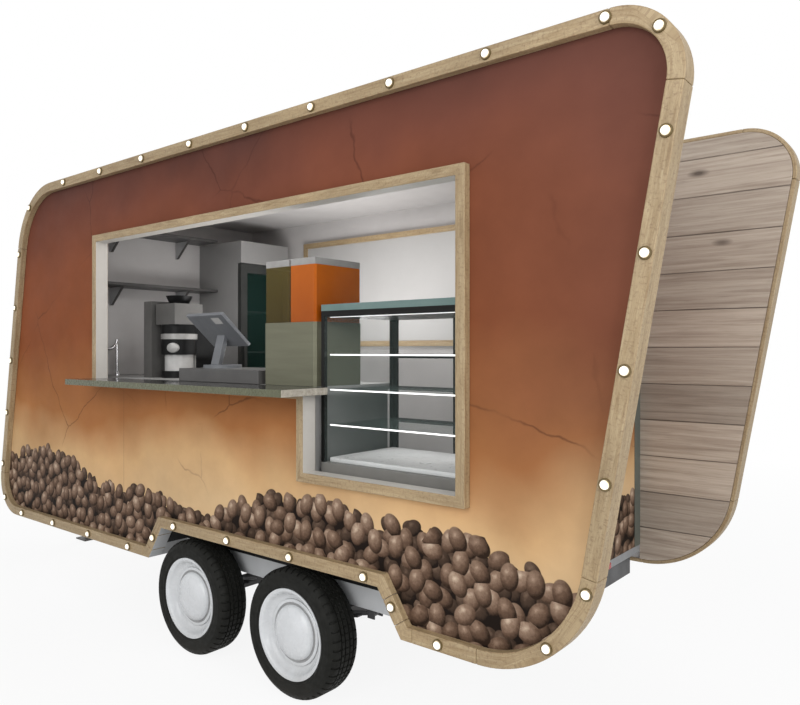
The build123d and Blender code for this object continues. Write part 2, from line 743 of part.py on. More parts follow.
def coupling():
    """Ball coupling: yoke across the beams' ends, neck and head with the ball socket below."""
    top, bottom = FLOOR_BOTTOM, DRAWBAR_BOTTOM
    yoke = block(YOKE_END, DRAWBAR_TIP, -DRAWBAR_TIP_HALF, DRAWBAR_TIP_HALF, bottom, top)
    yoke = chamfer(yoke.edges().filter_by(Axis.Z).group_by(Axis.X)[0], DRAWBAR_TIP_HALF * YOKE_SHARE)
    neck = block(HEAD_X, YOKE_END, -NECK_HALF, NECK_HALF, bottom + NECK_RISE, top)
    head = faceted_rod(HEAD_RADIUS, TURNED_SIDES, HEAD_X, 0, bottom, top)
    lever = block(HEAD_X - LEVER_OVERHANG, YOKE_END, -LEVER_WIDTH / 2, LEVER_WIDTH / 2,
                  top, top + LEVER_HEIGHT)
    return yoke + neck + head + lever - rod(BALL_RADIUS, HEAD_X, 0, bottom, bottom + SOCKET_DEPTH)


def jack_tube():
    """Square outer tube of the jack, with its flange on the gusset and a crank on top."""
    plate = FLOOR_BOTTOM + GUSSET
    tube = bar(JACK_TUBE, JACK_X, 0, JACK_BOTTOM, JACK_TOP)
    tube += bar(JACK_FLANGE, JACK_X, 0, plate, plate + GUSSET)
    tube -= bar(JACK_TUBE - JACK_WALL * 2, JACK_X, 0, JACK_BOTTOM, JACK_TOP - JACK_WALL)
    arm = JACK_TOP + CRANK_RISE
    tube += faceted_rod(CRANK_RADIUS, CRANK_SIDES, JACK_X, 0, JACK_TOP, arm)
    tube += block(JACK_X - CRANK_RADIUS, JACK_X + CRANK_ARM + CRANK_RADIUS, -CRANK_RADIUS, CRANK_RADIUS,
                  arm, arm + CRANK_BAR)
    grip = arm + CRANK_BAR
    return tube + faceted_rod(CRANK_RADIUS, CRANK_SIDES, JACK_X + CRANK_ARM, 0, grip, grip + CRANK_GRIP)


def jack_leg():
    """Inner leg with a square foot."""
    leg = bar(JACK_TUBE - (JACK_WALL + JACK_CLEARANCE) * 2, JACK_X, 0, FOOT_THICKNESS, LEG_TOP)
    return leg + bar(FOOT_WIDTH, JACK_X, 0, 0, FOOT_THICKNESS)


def rear_wall():
    """Rear wall with the doorway."""
    whole = block(INNER_END, CABIN_END, -WALL_BACK, WALL_BACK, FLOOR_TOP, CEILING)
    half = DOOR_WIDTH / 2 + DOOR_GAP
    return whole - block(INNER_END, CABIN_END, -half, half, FLOOR_TOP, DOOR_TOP + DOOR_GAP)


def door():
    """Door leaf with its three hinge sleeves."""
    half = DOOR_WIDTH / 2
    shape = block(INNER_END, CABIN_END, -half, half, DOOR_BOTTOM, DOOR_TOP)
    for z in HINGE_LEVELS:
        z0, z1 = z - HINGE_LENGTH / 2, z + HINGE_LENGTH / 2
        sleeve = faceted_rod(HINGE_BARREL, HINGE_SIDES, HINGE_X, HINGE_Y, z0, z1)
        strap = block(CABIN_END, CABIN_END + HINGE_PLATE, half - HINGE_LEAF, HINGE_Y, z0, z1)
        shape += sleeve + strap - rod(HINGE_PIN + RUNNING_GAP, HINGE_X, HINGE_Y, z0, z1)
    return shape


def door_handle():
    """Plate and lever on the outside of the door."""
    y, z = HANDLE_SET - DOOR_WIDTH / 2, DOOR_BOTTOM + HANDLE_LEVEL
    half = HANDLE_BAR / 2
    plate = block(CABIN_END, CABIN_END + HANDLE_PLATE, y - HANDLE_PLATE_WIDTH / 2, y + HANDLE_PLATE_WIDTH / 2,
                  z - HANDLE_PLATE_HEIGHT / 2, z + HANDLE_PLATE_HEIGHT / 2)
    z += HANDLE_RISE
    outer = CABIN_END + HANDLE_REACH
    neck = block(CABIN_END, outer, y - half, y + half, z - half, z + half)
    lever = block(outer, outer + HANDLE_BAR, y - half, y + HANDLE_LENGTH, z - half, z + half)
    return plate + neck + lever


def door_hinge(z):
    """Fixed half of a hinge: a pin in two knuckles on a plate on the wall."""
    half = DOOR_WIDTH / 2
    reach = HINGE_LENGTH / 2 + HINGE_END
    end = reach + HINGE_LENGTH / 2
    outer = CABIN_END + HINGE_PLATE
    fixed = rod(HINGE_PIN, HINGE_X, HINGE_Y, z - end, z + end)
    for z0, z1 in ((z - end, z - reach), (z + reach, z + end)):
        fixed += faceted_rod(HINGE_BARREL, HINGE_SIDES, HINGE_X, HINGE_Y, z0, z1)
        fixed += block(CABIN_END, outer, HINGE_Y, half + HINGE_LEAF, z0, z1)
    return fixed + block(CABIN_END, outer, HINGE_Y + HINGE_BARREL * 2, half + HINGE_LEAF, z - end, z + end)


def tail_lamp(side):
    """Flat lamp on the edge of the floor, under the rear wall."""
    y, z = side * LAMP_PLACE, (FLOOR_BOTTOM + FLOOR_TOP) / 2
    return block(CABIN_END, CABIN_END + LAMP_DEPTH, y - LAMP_WIDTH / 2, y + LAMP_WIDTH / 2,
                 z - LAMP_HEIGHT / 2, z + LAMP_HEIGHT / 2)


def corner_strip(end, side):
    """Strip in the corner between an end wall and a wing."""
    x0, x1 = between(end, CABIN_END, CABIN_END + STRIP_THICKNESS)
    y0, y1 = between(side, LINING_FACE - SEAM - STRIP_WIDTH, LINING_FACE - SEAM)
    return block(x0, x1, y0, y1, FLOOR_TOP, CEILING)


def cabinet(x0, x1, top):
    """Open-backed cabinet: front board, two ends, a shelf and a plinth down to the floor."""
    shape = block(x0, x1, -WALL_BACK, COUNTER_Y, CABINET_BOTTOM, top)
    middle = (CABINET_BOTTOM + top) / 2
    for z0, z1 in ((CABINET_BOTTOM + BOARD, middle - BOARD / 2), (middle + BOARD / 2, top - BOARD)):
        shape -= block(x0 + BOARD, x1 - BOARD, BOARD - WALL_BACK, COUNTER_Y, z0, z1)
    front = COUNTER_Y - PLINTH_SET
    return shape + block(x0, x1, front - BOARD, front, FLOOR_TOP, CABINET_BOTTOM)


def counter():
    """Counter cabinet with its worktop, level with the slab."""
    top = block(-INNER_END, COUNTER_REAR, SLAB_INSIDE + SLAB_JOINT - WALL_BACK, COUNTER_Y + BOARD,
                SLAB_BOTTOM, SLAB_TOP)
    return cabinet(-INNER_END, COUNTER_REAR, SLAB_BOTTOM) + top


def display_case():
    """Display case: base, corner posts, rear rails and a canopy."""
    x0, x1, y0, y1 = CASE_FRONT_X, CASE_REAR_X, CASE_FRONT_Y, CASE_REAR_Y
    shape = block(x0, x1, y0, y1, CASE_BASE, CASE_DECK) + block(x0, x1, y0, y1, CASE_CEILING, CASE_TOP)
    last = x1 - CASE_POST
    middle = (x0 + last) / 2
    posts = [(x, y1 - CASE_POST) for x in (x0, middle, last)] + [(x, y0) for x in (x0, last)]
    for x, y in posts:
        shape += block(x, x + CASE_POST, y, y + CASE_POST, CASE_DECK, CASE_CEILING)
    for z in CASE_SHELVES:
        shape += block(x0, x1, y1 - CASE_POST, y1, z - CASE_POST, z)
    return shape


def case_glass():
    """Front and end panes, and three glass shelves."""
    x0, x1, y0, y1 = CASE_FRONT_X, CASE_REAR_X, CASE_FRONT_Y, CASE_REAR_Y
    panes = [block(x0 + CASE_POST, x1 - CASE_POST, y0, y0 + PANE, CASE_DECK, CASE_CEILING)]
    for x in (x0, x1 - PANE):
        panes.append(block(x, x + PANE, y0 + CASE_POST, y1 - CASE_POST, CASE_DECK, CASE_CEILING))
    for z in CASE_SHELVES:
        panes.append(block(x0 + PANE * 2, x1 - PANE * 2, y0 + CASE_POST * 2, y1 - CASE_POST, z - PANE, z))
    return panes


def dispenser():
    """Drinks dispenser: a steel base with two taps, that the tanks stand on."""
    y1 = DISPENSER_Y + DISPENSER_DEPTH
    base = block(DISPENSER_X, COUNTER_REAR, DISPENSER_Y, y1, SLAB_TOP, DISPENSER_TOP)
    base = chamfer(base.edges().filter_by(Axis.Z), DISPENSER_RADIUS)
    z = SLAB_TOP + TAP_RISE
    for share in TAP_SHARES:
        x = DISPENSER_X + DISPENSER_WIDTH * share
        base += block(x - TAP_BODY / 2, x + TAP_BODY / 2, y1, y1 + TAP_REACH, z, z + TAP_HEIGHT)
        base += block(x - SPOUT_WIDTH / 2, x + SPOUT_WIDTH / 2, y1 + TAP_REACH - SPOUT_WIDTH, y1 + TAP_REACH,
                      z - SPOUT_DROP, z)
    return base


def tanks():
    """Two clear tanks with lids, side by side on the base."""
    width = (DISPENSER_WIDTH - TANK_GAP) / 2 - TANK_SET
    y0, y1 = DISPENSER_Y + TANK_SET, DISPENSER_Y + DISPENSER_DEPTH - TANK_SET
    top = DISPENSER_TOP + TANK_HEIGHT
    shapes = []
    for x in (DISPENSER_X + TANK_SET, COUNTER_REAR - TANK_SET - width):
        tank = block(x, x + width, y0, y1, DISPENSER_TOP, top)
        tank = chamfer(tank.edges().filter_by(Axis.Z), TANK_RADIUS)
        lid = block(x + TANK_SET, x + width - TANK_SET, y0 + TANK_SET, y1 - TANK_SET, top, top + LID_HEIGHT)
        shapes.append(tank + lid)
    return shapes


def coffee_machine():
    """Coffee machine: a tower and a spine that carry turned drums, a square head and a hopper."""
    x0 = MACHINE_FRONT_X
    y0 = MACHINE_SET - WALL_BACK
    y1 = y0 + MACHINE_DEPTH
    low, high = BREWER_LEVELS
    shape = block(x0, x0 + TOWER_WIDTH, y0, y1, SLAB_TOP, SLAB_TOP + TOWER_HEIGHT)
    inner = x0 + TOWER_WIDTH
    shape += block(inner, inner + SPINE_WIDTH, y1 - SPINE_DEPTH, y1, SLAB_TOP, SLAB_TOP + low)
    x, y, half = inner + COLUMN_SET, y0 + COLUMN_SET, BREWER_WIDTH / 2
    for sections in MACHINE_DRUMS:
        shape += Pos(x, y, SLAB_TOP) * turned(sections, TURNED_SIDES)
    return shape + block(x - half, x + half, y - half, y + half, SLAB_TOP + low, SLAB_TOP + high)


def terminal():
    """Sales terminal: drawer, foot, leaning neck and a tilted screen."""
    y0 = DRAWER_SET - WALL_BACK
    top = SLAB_TOP + DRAWER_HEIGHT
    drawer = block(DRAWER_FRONT_X, DRAWER_FRONT_X + DRAWER_WIDTH, y0, y0 + DRAWER_DEPTH, SLAB_TOP, top)
    foot = turned(((0, STAND_RADIUS), (STAND_THICKNESS, STAND_RADIUS)), TURNED_SIDES)
    shape = drawer + Pos(TERMINAL_X, STAND_SET - WALL_BACK, top) * foot
    neck = Rot(NECK_LEAN, 0, 0) * Box(*NECK_SIZE)
    shape += Pos(TERMINAL_X, NECK_SET - WALL_BACK, SLAB_TOP + NECK_LEVEL) * neck
    screen = Rot(SCREEN_LEAN, 0, 0) * Box(*SCREEN_SIZE)
    return shape + Pos(TERMINAL_X, SCREEN_SET - WALL_BACK, SLAB_TOP + SCREEN_LEVEL) * screen


def tap():
    """Swan-neck tap on the counter, a many-sided tube bent over in short straight steps."""
    y = TAP_SET - WALL_BACK
    low, high = SLAB_TOP + TAP_FOOT_HEIGHT, SLAB_TOP + TAP_STEM
    far = y - TAP_BEND * 2
    bend = [pi * i / TAP_BEND_STEPS for i in range(TAP_BEND_STEPS + 1)]
    middle = y - TAP_BEND
    points = [(TAP_X, y, low)]
    points += [(TAP_X, middle + TAP_BEND * cos(turn), high + TAP_BEND * sin(turn)) for turn in bend]
    points.append((TAP_X, far, high - TAP_SPOUT))
    outline = Pos(TAP_X, y, low) * RegularPolygon(TAP_RADIUS, TAP_SIDES)
    tube = sweep(outline, path=Polyline(*points), transition=Transition.RIGHT)
    foot = turned(((0, TAP_FOOT), (TAP_FOOT_HEIGHT, TAP_FOOT)), TAP_SIDES)
    return tube + Pos(TAP_X, y, SLAB_TOP) * foot


def fridge():
    """Upright fridge against the front wall: an open-fronted cabinet with a header and shelves."""
    x0, x1 = -INNER_END, FRIDGE_FRONT
    y0, y1 = FRIDGE_NEAR + FRIDGE_WALL, FRIDGE_FAR - FRIDGE_WALL
    low, high = FRIDGE_OPENING
    base = FLOOR_TOP + FRIDGE_BASE
    body = block(x0, x1, FRIDGE_NEAR, FRIDGE_FAR, FLOOR_TOP, FRIDGE_TOP)
    body -= block(x0 + FRIDGE_WALL, x1, y0, y1, base, high - FRIDGE_WALL)
    body -= block(x1 - FRIDGE_DOOR - DOOR_GAP, x1, FRIDGE_NEAR, FRIDGE_FAR, low, high)
    for i in range(1, FRIDGE_SHELF_COUNT + 1):
        z = base + i * FRIDGE_SHELF_PITCH
        body += block(x0 + FRIDGE_WALL, x1 - FRIDGE_SHELF_SET, y0, y1, z, z + FRIDGE_SHELF)
    return body


def fridge_pins():
    """Hinge pins above and below the fridge door."""
    low, high = FRIDGE_OPENING
    spans = ((low, low + FRIDGE_PIN_LENGTH), (high - FRIDGE_PIN_LENGTH, high))
    return [rod(HINGE_PIN, *FRIDGE_PIVOT, *span) for span in spans]


def fridge_door():
    """Framed door with a handle, turning on two pins."""
    x0, x1 = FRIDGE_FRONT - FRIDGE_DOOR, FRIDGE_FRONT
    low, high = FRIDGE_OPENING[0] + DOOR_GAP, FRIDGE_OPENING[1] - DOOR_GAP
    shape = block(x0, x1, FRIDGE_NEAR, FRIDGE_FAR, low, high)
    shape -= block(x0, x1, FRIDGE_NEAR + FRIDGE_STILE, FRIDGE_FAR - FRIDGE_STILE,
                   low + FRIDGE_RAIL, high - FRIDGE_RAIL)
    hinge_edges = shape.edges().filter_by(Axis.Z).sort_by(Axis.Y)[-2:]
    shape = fillet(hinge_edges, FRIDGE_DOOR * FRIDGE_ROUND)
    grip = FRIDGE_NEAR + GRIP_SET
    shape += block(x1, x1 + GRIP_DEPTH, grip, grip + GRIP_WIDTH, GRIP_LEVEL, GRIP_LEVEL + GRIP_LENGTH)
    hole = HINGE_PIN + RUNNING_GAP
    shape -= rod(hole, *FRIDGE_PIVOT, low, low + FRIDGE_PIN_LENGTH)
    return shape - rod(hole, *FRIDGE_PIVOT, high - FRIDGE_PIN_LENGTH, high)


def fridge_pane():
    """Glass of the fridge door."""
    x = FRIDGE_PIVOT[0]
    low, high = FRIDGE_OPENING[0] + DOOR_GAP, FRIDGE_OPENING[1] - DOOR_GAP
    return block(x - FRIDGE_PANE / 2, x + FRIDGE_PANE / 2, FRIDGE_NEAR + FRIDGE_STILE,
                 FRIDGE_FAR - FRIDGE_STILE, low + FRIDGE_RAIL, high - FRIDGE_RAIL)


def wall_shelf(z):
    """Shelf on the front wall, on two gusset brackets."""
    x0 = -INNER_END
    y0, y1 = SHELF_JOINT - WALL_BACK, FRIDGE_NEAR - SHELF_GAP
    under = z - SHELF_THICKNESS
    shape = block(x0, x0 + SHELF_DEPTH, y0, y1, under, z)
    outline = [(x0, under), (x0, under - BRACKET_DROP), (x0 + BRACKET_TOE, under - BRACKET_DROP),
               (x0 + BRACKET_REACH, under)]
    bracket = make_face(Polyline(*outline, close=True))
    for share in BRACKET_SHARES:
        y = y0 + (y1 - y0) * share
        shape += across(bracket, y, y + BRACKET_WIDTH)
    return shape


def menu_board():
    """Blank board in a timber frame on the plain wall."""
    near = WALL_BACK - MENU_DEPTH
    frame = block(MENU_FRONT, MENU_REAR, near, WALL_BACK, MENU_BOTTOM, MENU_TOP)
    return frame - block(MENU_FRONT + MENU_BORDER, MENU_REAR - MENU_BORDER, near, WALL_BACK - MENU_BOARD,
                         MENU_BOTTOM + MENU_BORDER, MENU_TOP - MENU_BORDER)


def rail(side):
    """One of the two long rails under the floor."""
    reach = CABIN_END - MEMBER_WIDTH
    return block(-reach, reach, *between(side, RAIL_INNER, RAIL_OUTER), RAIL_BOTTOM, FLOOR_BOTTOM)


def cross_members():
    """Members between the rails, and a deeper one across each end."""
    members = [
        block(x, x + MEMBER_WIDTH, -RAIL_INNER, RAIL_INNER, FLOOR_BOTTOM - MEMBER_HEIGHT, FLOOR_BOTTOM)
        for x in MEMBER_PLACES
    ]
    for end in ENDS:
        x0, x1 = between(end, CABIN_END - MEMBER_WIDTH, CABIN_END)
        members.append(block(x0, x1, -RAIL_OUTER, RAIL_OUTER, RAIL_BOTTOM, FLOOR_BOTTOM))
    return members


os.makedirs("parts", exist_ok=True)

put("chassis_rails", rail(-1), rail(1))
put("cross_members", *cross_members())
put("drawbar", drawbar_beam(-1), drawbar_beam(1))
put("drawbar_gusset", gusset())
put("coupling", coupling())
put("jack_tube", jack_tube())
put("jack_leg", jack_leg())
for place, x in AXLES:
    put(f"axle_{place}", axle(x))
springs = [(x, side * RAIL_MIDDLE) for _, x in AXLES for _, side in SIDES]
put("leaf_springs", *[spring(x, y) for x, y in springs])
put("spring_hangers", *[hanger(x + end * SPRING_HALF, y) for x, y in springs for end in ENDS])

put("floor", floor())
put("roof", block(-CABIN_END, CABIN_END, -WALL_BACK, WALL_BACK, CEILING, CEILING + ROOF_THICKNESS))
put("front_wall", block(-CABIN_END, -INNER_END, -WALL_BACK, WALL_BACK, FLOOR_TOP, CEILING))
put("rear_wall", rear_wall())
put("corner_strips", *[corner_strip(end, side) for end in ENDS for _, side in SIDES])
put("tail_lamps", tail_lamp(-1), tail_lamp(1))
put("door", door())
put("door_handle", door_handle())
put("door_hinges", *[door_hinge(z) for z in HINGE_LEVELS])

put("serving_wall", serving_wall())
put("plain_wall", wall(1))
joints = rim_joints()
for name, side in SIDES:
    put(f"{name}_rim", rim(side) - joints)
    put(f"{name}_linings", wing_linings(side))
    put(f"{name}_bulbs", *bulbs(side))
    put(f"{name}_well", well(side))
    for place, x in AXLES:
        put(f"tyre_{name}_{place}", tyre(x, side))
        put(f"wheel_{name}_{place}", wheel(x, side))
put("window_frame", window_frame())
put("counter_slab", slab())

put("counter", counter())
put("case_stand", cabinet(COUNTER_REAR + STAND_GAP, INNER_END - STAND_GAP, CASE_BASE))
put("display_case", display_case())
put("display_glass", *case_glass())
put("drinks_dispenser", dispenser())
put("drinks_tanks", *tanks())
put("coffee_machine", coffee_machine())
put("sales_terminal", terminal())
put("tap", tap())
put("fridge", fridge())
put("fridge_pins", *fridge_pins())
put("fridge_door", fridge_door())
put("fridge_pane", fridge_pane())
put("wall_shelves", *[wall_shelf(z) for z in SHELF_LEVELS])
put("menu_board", menu_board())
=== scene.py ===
# %% [markdown]
# A coffee trailer: a box-shaped kitchen between two big leaning side panels, on four small wheels.
# The measured model is loaded first as a fixed frame. Every piece below is modelled on that frame,
# in metres, so nothing has to be fitted by eye.

# %% Load the frame
import json
from math import cos, hypot, pi, radians, sin, tan

import bpy
from mathutils import Matrix, Vector

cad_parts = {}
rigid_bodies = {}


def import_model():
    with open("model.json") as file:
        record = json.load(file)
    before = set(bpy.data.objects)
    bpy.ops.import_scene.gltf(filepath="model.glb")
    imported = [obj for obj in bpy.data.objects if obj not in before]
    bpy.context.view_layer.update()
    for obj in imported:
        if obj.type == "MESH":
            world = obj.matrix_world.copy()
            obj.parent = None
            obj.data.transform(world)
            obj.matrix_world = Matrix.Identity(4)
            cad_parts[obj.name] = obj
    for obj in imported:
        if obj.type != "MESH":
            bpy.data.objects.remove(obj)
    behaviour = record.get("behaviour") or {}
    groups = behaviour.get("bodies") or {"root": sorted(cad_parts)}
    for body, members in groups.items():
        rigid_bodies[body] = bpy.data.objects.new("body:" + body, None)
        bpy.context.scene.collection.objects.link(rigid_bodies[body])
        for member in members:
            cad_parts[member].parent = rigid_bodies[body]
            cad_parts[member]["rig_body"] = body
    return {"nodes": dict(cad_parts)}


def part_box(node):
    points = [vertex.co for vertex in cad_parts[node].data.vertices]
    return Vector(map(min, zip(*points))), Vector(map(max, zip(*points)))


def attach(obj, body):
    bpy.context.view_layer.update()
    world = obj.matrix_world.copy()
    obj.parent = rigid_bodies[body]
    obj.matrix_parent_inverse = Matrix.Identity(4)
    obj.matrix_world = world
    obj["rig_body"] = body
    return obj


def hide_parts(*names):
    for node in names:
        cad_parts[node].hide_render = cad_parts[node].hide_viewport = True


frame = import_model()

nodes = frame["nodes"]
scene = bpy.context.scene
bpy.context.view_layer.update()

# %% [markdown]
# The camera stands level, at the height of the window, off the rear corner of the serving side.
# It could be aimed with a constraint. Plain numbers are easier to read and to repeat, so the place,
# the turn about the vertical and the lens are written down as they were worked out from the outline.

# %% Camera
scene.view_settings.view_transform = "Standard"
camera_lens = bpy.data.cameras.new("camera")
camera_lens.lens = 32.517
camera_lens.sensor_width = 36
camera_lens.shift_y = -0.0025
camera = bpy.data.objects.new("camera", camera_lens)
camera.location = (3.8146, -3.1815, 1.68025)
camera.rotation_euler = (radians(90), 0, radians(39.13))
scene.collection.objects.link(camera)
scene.camera = camera
print("camera at", tuple(round(v, 3) for v in camera.location))

# %% [markdown]
# A finish is a Principled shader with a few texture nodes in front of it, and the studio's light is made
# of such nodes too. These helpers add a node with its inputs filled or linked, do sums, and lay a row of
# colours over a factor, so that each finish below reads as a short recipe. A socket knows the tree that
# it belongs to, so a new node is put in the tree of its inputs.

# %% Helpers for finishes
def start_finish(name, shine=0.5, metallic=0):
    finish = bpy.data.materials.new(name)
    finish.use_nodes = True
    shader = finish.node_tree.nodes["Principled BSDF"]
    shader.inputs["Specular IOR Level"].default_value = shine
    shader.inputs["Metallic"].default_value = metallic
    return finish, shader


def first_node(owner, kind):
    return owner.node_tree.nodes.new("ShaderNode" + kind)


def join_to(output, socket):
    socket.id_data.links.new(output, socket)


def is_socket(value):
    return isinstance(value, bpy.types.NodeSocket)


def add_node(kind, inputs, **settings):
    tree = next(value.id_data for value in inputs.values() if is_socket(value))
    node = tree.nodes.new("ShaderNode" + kind)
    for key, value in settings.items():
        setattr(node, key, value)
    for key, value in inputs.items():
        if is_socket(value):
            join_to(value, node.inputs[key])
        else:
            node.inputs[key].default_value = value
    return node


def sums(operation, first, second=0):
    return add_node("Math", {0: first, 1: second}, operation=operation).outputs[0]


def times(first, second):
    return sums("MULTIPLY", first, second)


def plus(first, second):
    return sums("ADD", first, second)


def vector_sums(operation, first, second=(0, 0, 0)):
    return add_node("VectorMath", {0: first, 1: second}, operation=operation).outputs


def split(place):
    return add_node("SeparateXYZ", {"Vector": place}).outputs


def colours(factor, stops):
    ramp = add_node("ValToRGB", {"Fac": factor})
    row = ramp.color_ramp.elements
    while len(row) < len(stops):
        row.new(0.5)
    for element, (place, colour) in zip(row, stops):
        element.position = place
        element.color = (*colour, 1)
    return ramp.outputs["Color"]


def blend(factor, under, over, kind="MIX"):
    mix = add_node("Mix", {0: factor, 6: under, 7: over}, data_type="RGBA", blend_type=kind)
    return mix.outputs[2]


def cloud(place, scale, detail=5, rough=0.6):
    inputs = {"Vector": place, "Scale": scale, "Detail": detail, "Roughness": rough}
    return add_node("TexNoise", inputs).outputs["Fac"]


def spread(value, low, high, start=0.3, stop=0.7):
    inputs = {"Value": value, "From Min": start, "From Max": stop, "To Min": low, "To Max": high}
    return add_node("MapRange", inputs).outputs["Result"]


def scaled(place, scale, shift=(0, 0, 0)):
    return add_node("Mapping", {"Vector": place, "Scale": scale, "Location": shift}).outputs["Vector"]


def lay(finish, scale=(1, 1, 1)):
    return scaled(first_node(finish, "TexCoord").outputs["Object"], scale)


def set_looks(shader, colour, roughness):
    join_to(colour, shader.inputs["Base Color"])
    join_to(roughness, shader.inputs["Roughness"])


def emboss(shader, height, strength, depth):
    bump = add_node("Bump", {"Height": height, "Strength": strength, "Distance": depth})
    join_to(bump.outputs["Normal"], shader.inputs["Normal"])


# %% [markdown]
# A studio has one big soft lamp beside the camera, a weaker one opposite and a ceiling of light.
# The world is white for the camera and for reflections, and a calmer grey for the light it gives,
# so the background is white without bleaching the paint. Two soft lamps light the kitchen.

# %% Studio light
def seen_directly(owner):
    ray = first_node(owner, "LightPath").outputs
    seen = sums("MAXIMUM", ray["Is Camera Ray"], ray["Is Glossy Ray"])
    return sums("MAXIMUM", seen, ray["Is Transmission Ray"])


def mix_shaders(owner, share, plain, bright, end):
    mix = add_node("MixShader", {"Fac": share, 1: plain.outputs[0], 2: bright.outputs[0]})
    join_to(mix.outputs[0], owner.node_tree.nodes[end].inputs["Surface"])


def add_lamp(name, place, target, size, power):
    lamp_data = bpy.data.lights.new(name, "AREA")
    lamp_data.size = size
    lamp_data.energy = power
    lamp = bpy.data.objects.new(name, lamp_data)
    lamp.location = place
    lamp.rotation_euler = (Vector(target) - Vector(place)).to_track_quat("-Z", "Y").to_euler()
    scene.collection.objects.link(lamp)


studio = bpy.data.worlds.new("studio")
scene.world = studio
studio.use_nodes = True
fill_light = studio.node_tree.nodes["Background"]
fill_light.inputs["Color"].default_value = (0.94, 0.97, 1, 1)
fill_light.inputs["Strength"].default_value = 0.5
white_seen = first_node(studio, "Background")
white_seen.inputs["Color"].default_value = (1, 1, 1, 1)
mix_shaders(studio, seen_directly(studio), fill_light, white_seen, "World Output")
add_lamp("key_lamp", (3, -8, 4.2), (0.4, 0, 1.5), 5, 330)
add_lamp("side_lamp", (7.5, -2.2, 3.2), (1.8, 0.6, 1.5), 3.5, 170)
add_lamp("far_lamp", (-5, 6.5, 5), (0, 0, 1.4), 4, 300)
add_lamp("cabin_lamp", (0.9, -0.15, 2.66), (0.9, -0.1, 1), 0.8, 16)
add_lamp("aisle_lamp", (0.4, 0.1, 1.62), (0.4, 0.12, 2.7), 0.9, 18)

# %% [markdown]
# The floor is a pale sheet. A camera ray sees it nearly white, and the rest is a matt surface
# that still takes the trailer's shadow. Away from the trailer it fades to the white of the background.

# %% Floor
FADE_START, FADE_STOP = 3.5, 9
bpy.ops.mesh.primitive_plane_add(size=80, location=(0, 0, 0))
studio_floor = bpy.context.active_object
studio_floor.name = "studio_floor"
pale_floor, matt = start_finish("pale_floor", 0.1)
matt.inputs["Base Color"].default_value = (0.86, 0.86, 0.86, 1)
matt.inputs["Roughness"].default_value = 0.9
from_middle = vector_sums("LENGTH", lay(pale_floor))["Value"]
glow_share = times(seen_directly(pale_floor), spread(from_middle, 0.9, 1, FADE_START, FADE_STOP))
mix_shaders(pale_floor, glow_share, matt, first_node(pale_floor, "Emission"), "Material Output")
studio_floor.data.materials.append(pale_floor)
print("the floor fades to white from", FADE_START, "to", FADE_STOP, "m")

# %% [markdown]
# Most of the trailer is painted steel, moulded plastic or laminate. They share one recipe: a cloud of
# two close tones, a finer cloud that makes the gloss uneven, and a fine bump such as orange peel.
# Dust settles on what is near the road, so the recipe can also fade to a dust colour downwards.

# %% One recipe for paint, plastic and sheet
def coated(name, dark, light, patch=0.25, gloss=(0.35, 0.55), peel=0.004, strength=0.12,
           metallic=0, stretch=(1, 1, 1), dust=None, shine=0.4):
    finish, shader = start_finish(name, shine, metallic)
    place = lay(finish, stretch)
    tone = colours(cloud(place, 1 / patch), [(0.25, dark), (0.75, light)])
    wear = cloud(place, 2.5 / patch, 4, 0.55)
    if dust:
        dust_colour, full_below, none_above = dust
        low = spread(split(lay(finish))["Z"], 0.55, 0, full_below, none_above)
        tone = blend(times(low, spread(wear, 0.2, 1)), tone, (*dust_colour, 1))
    set_looks(shader, tone, spread(wear, *gloss))
    emboss(shader, cloud(place, 1 / peel, 3), strength, peel * 0.4)
    return finish


def dress(finish, *names):
    for name in names:
        slots = nodes[name].data.materials
        slots.clear()
        slots.append(finish)
    print(finish.name, "on", names)


pale_steel = coated("pale_steel_paint", (0.46, 0.465, 0.47), (0.54, 0.545, 0.55))
cabin_sheet = coated("cabin_sheet", (0.44, 0.42, 0.41), (0.52, 0.5, 0.49), 0.5, (0.35, 0.5), 0.003, 0.06)
floor_sheet = coated("floor_sheet", (0.22, 0.225, 0.23), (0.3, 0.305, 0.31), 0.12, (0.5, 0.7), 0.012, 0.5)
bright_steel = coated("bright_steel", (0.6, 0.6, 0.61), (0.72, 0.72, 0.73), 0.08, (0.16, 0.3),
                      0.002, 0.05, 1)
dress(cabin_sheet, "roof")
dress(floor_sheet, "floor")
dress(bright_steel, "fridge_pins")

# %% [markdown]
# The side panels and end walls carry a printed laminate: dark brown at the top, red-brown, orange and
# tan lower down, with hairline cracks, and a bank of round roasted grains along the bottom. The grains
# are ovals round the points of a Voronoi pattern, each turned its own way, in four layers. A grain belongs
# to the bank where its own centre is below a wavy line, so each is whole.

# %% Bank of roasted grains
FRONT_TONES = [(0.02, (0.024, 0.014, 0.009)), (0.35, (0.118, 0.07, 0.046)),
               (0.62, (0.262, 0.174, 0.122)), (0.9, (0.56, 0.43, 0.32))]
BACK_TONES = [(0.05, (0.012, 0.008, 0.006)), (0.5, (0.066, 0.041, 0.028)), (0.9, (0.175, 0.116, 0.082))]
LAYERS = ((0.088, 3.7, BACK_TONES), (0.094, 8.3, BACK_TONES),
          (0.108, 0, FRONT_TONES), (0.112, 5.9, FRONT_TONES))


def wave(along, pace, height):
    return times(sums("SINE", times(along, pace)), height)


def bank_line(along):
    return plus(plus(wave(along, 2.1, 0.085), wave(along, 5.3, 0.035)), 0.885)


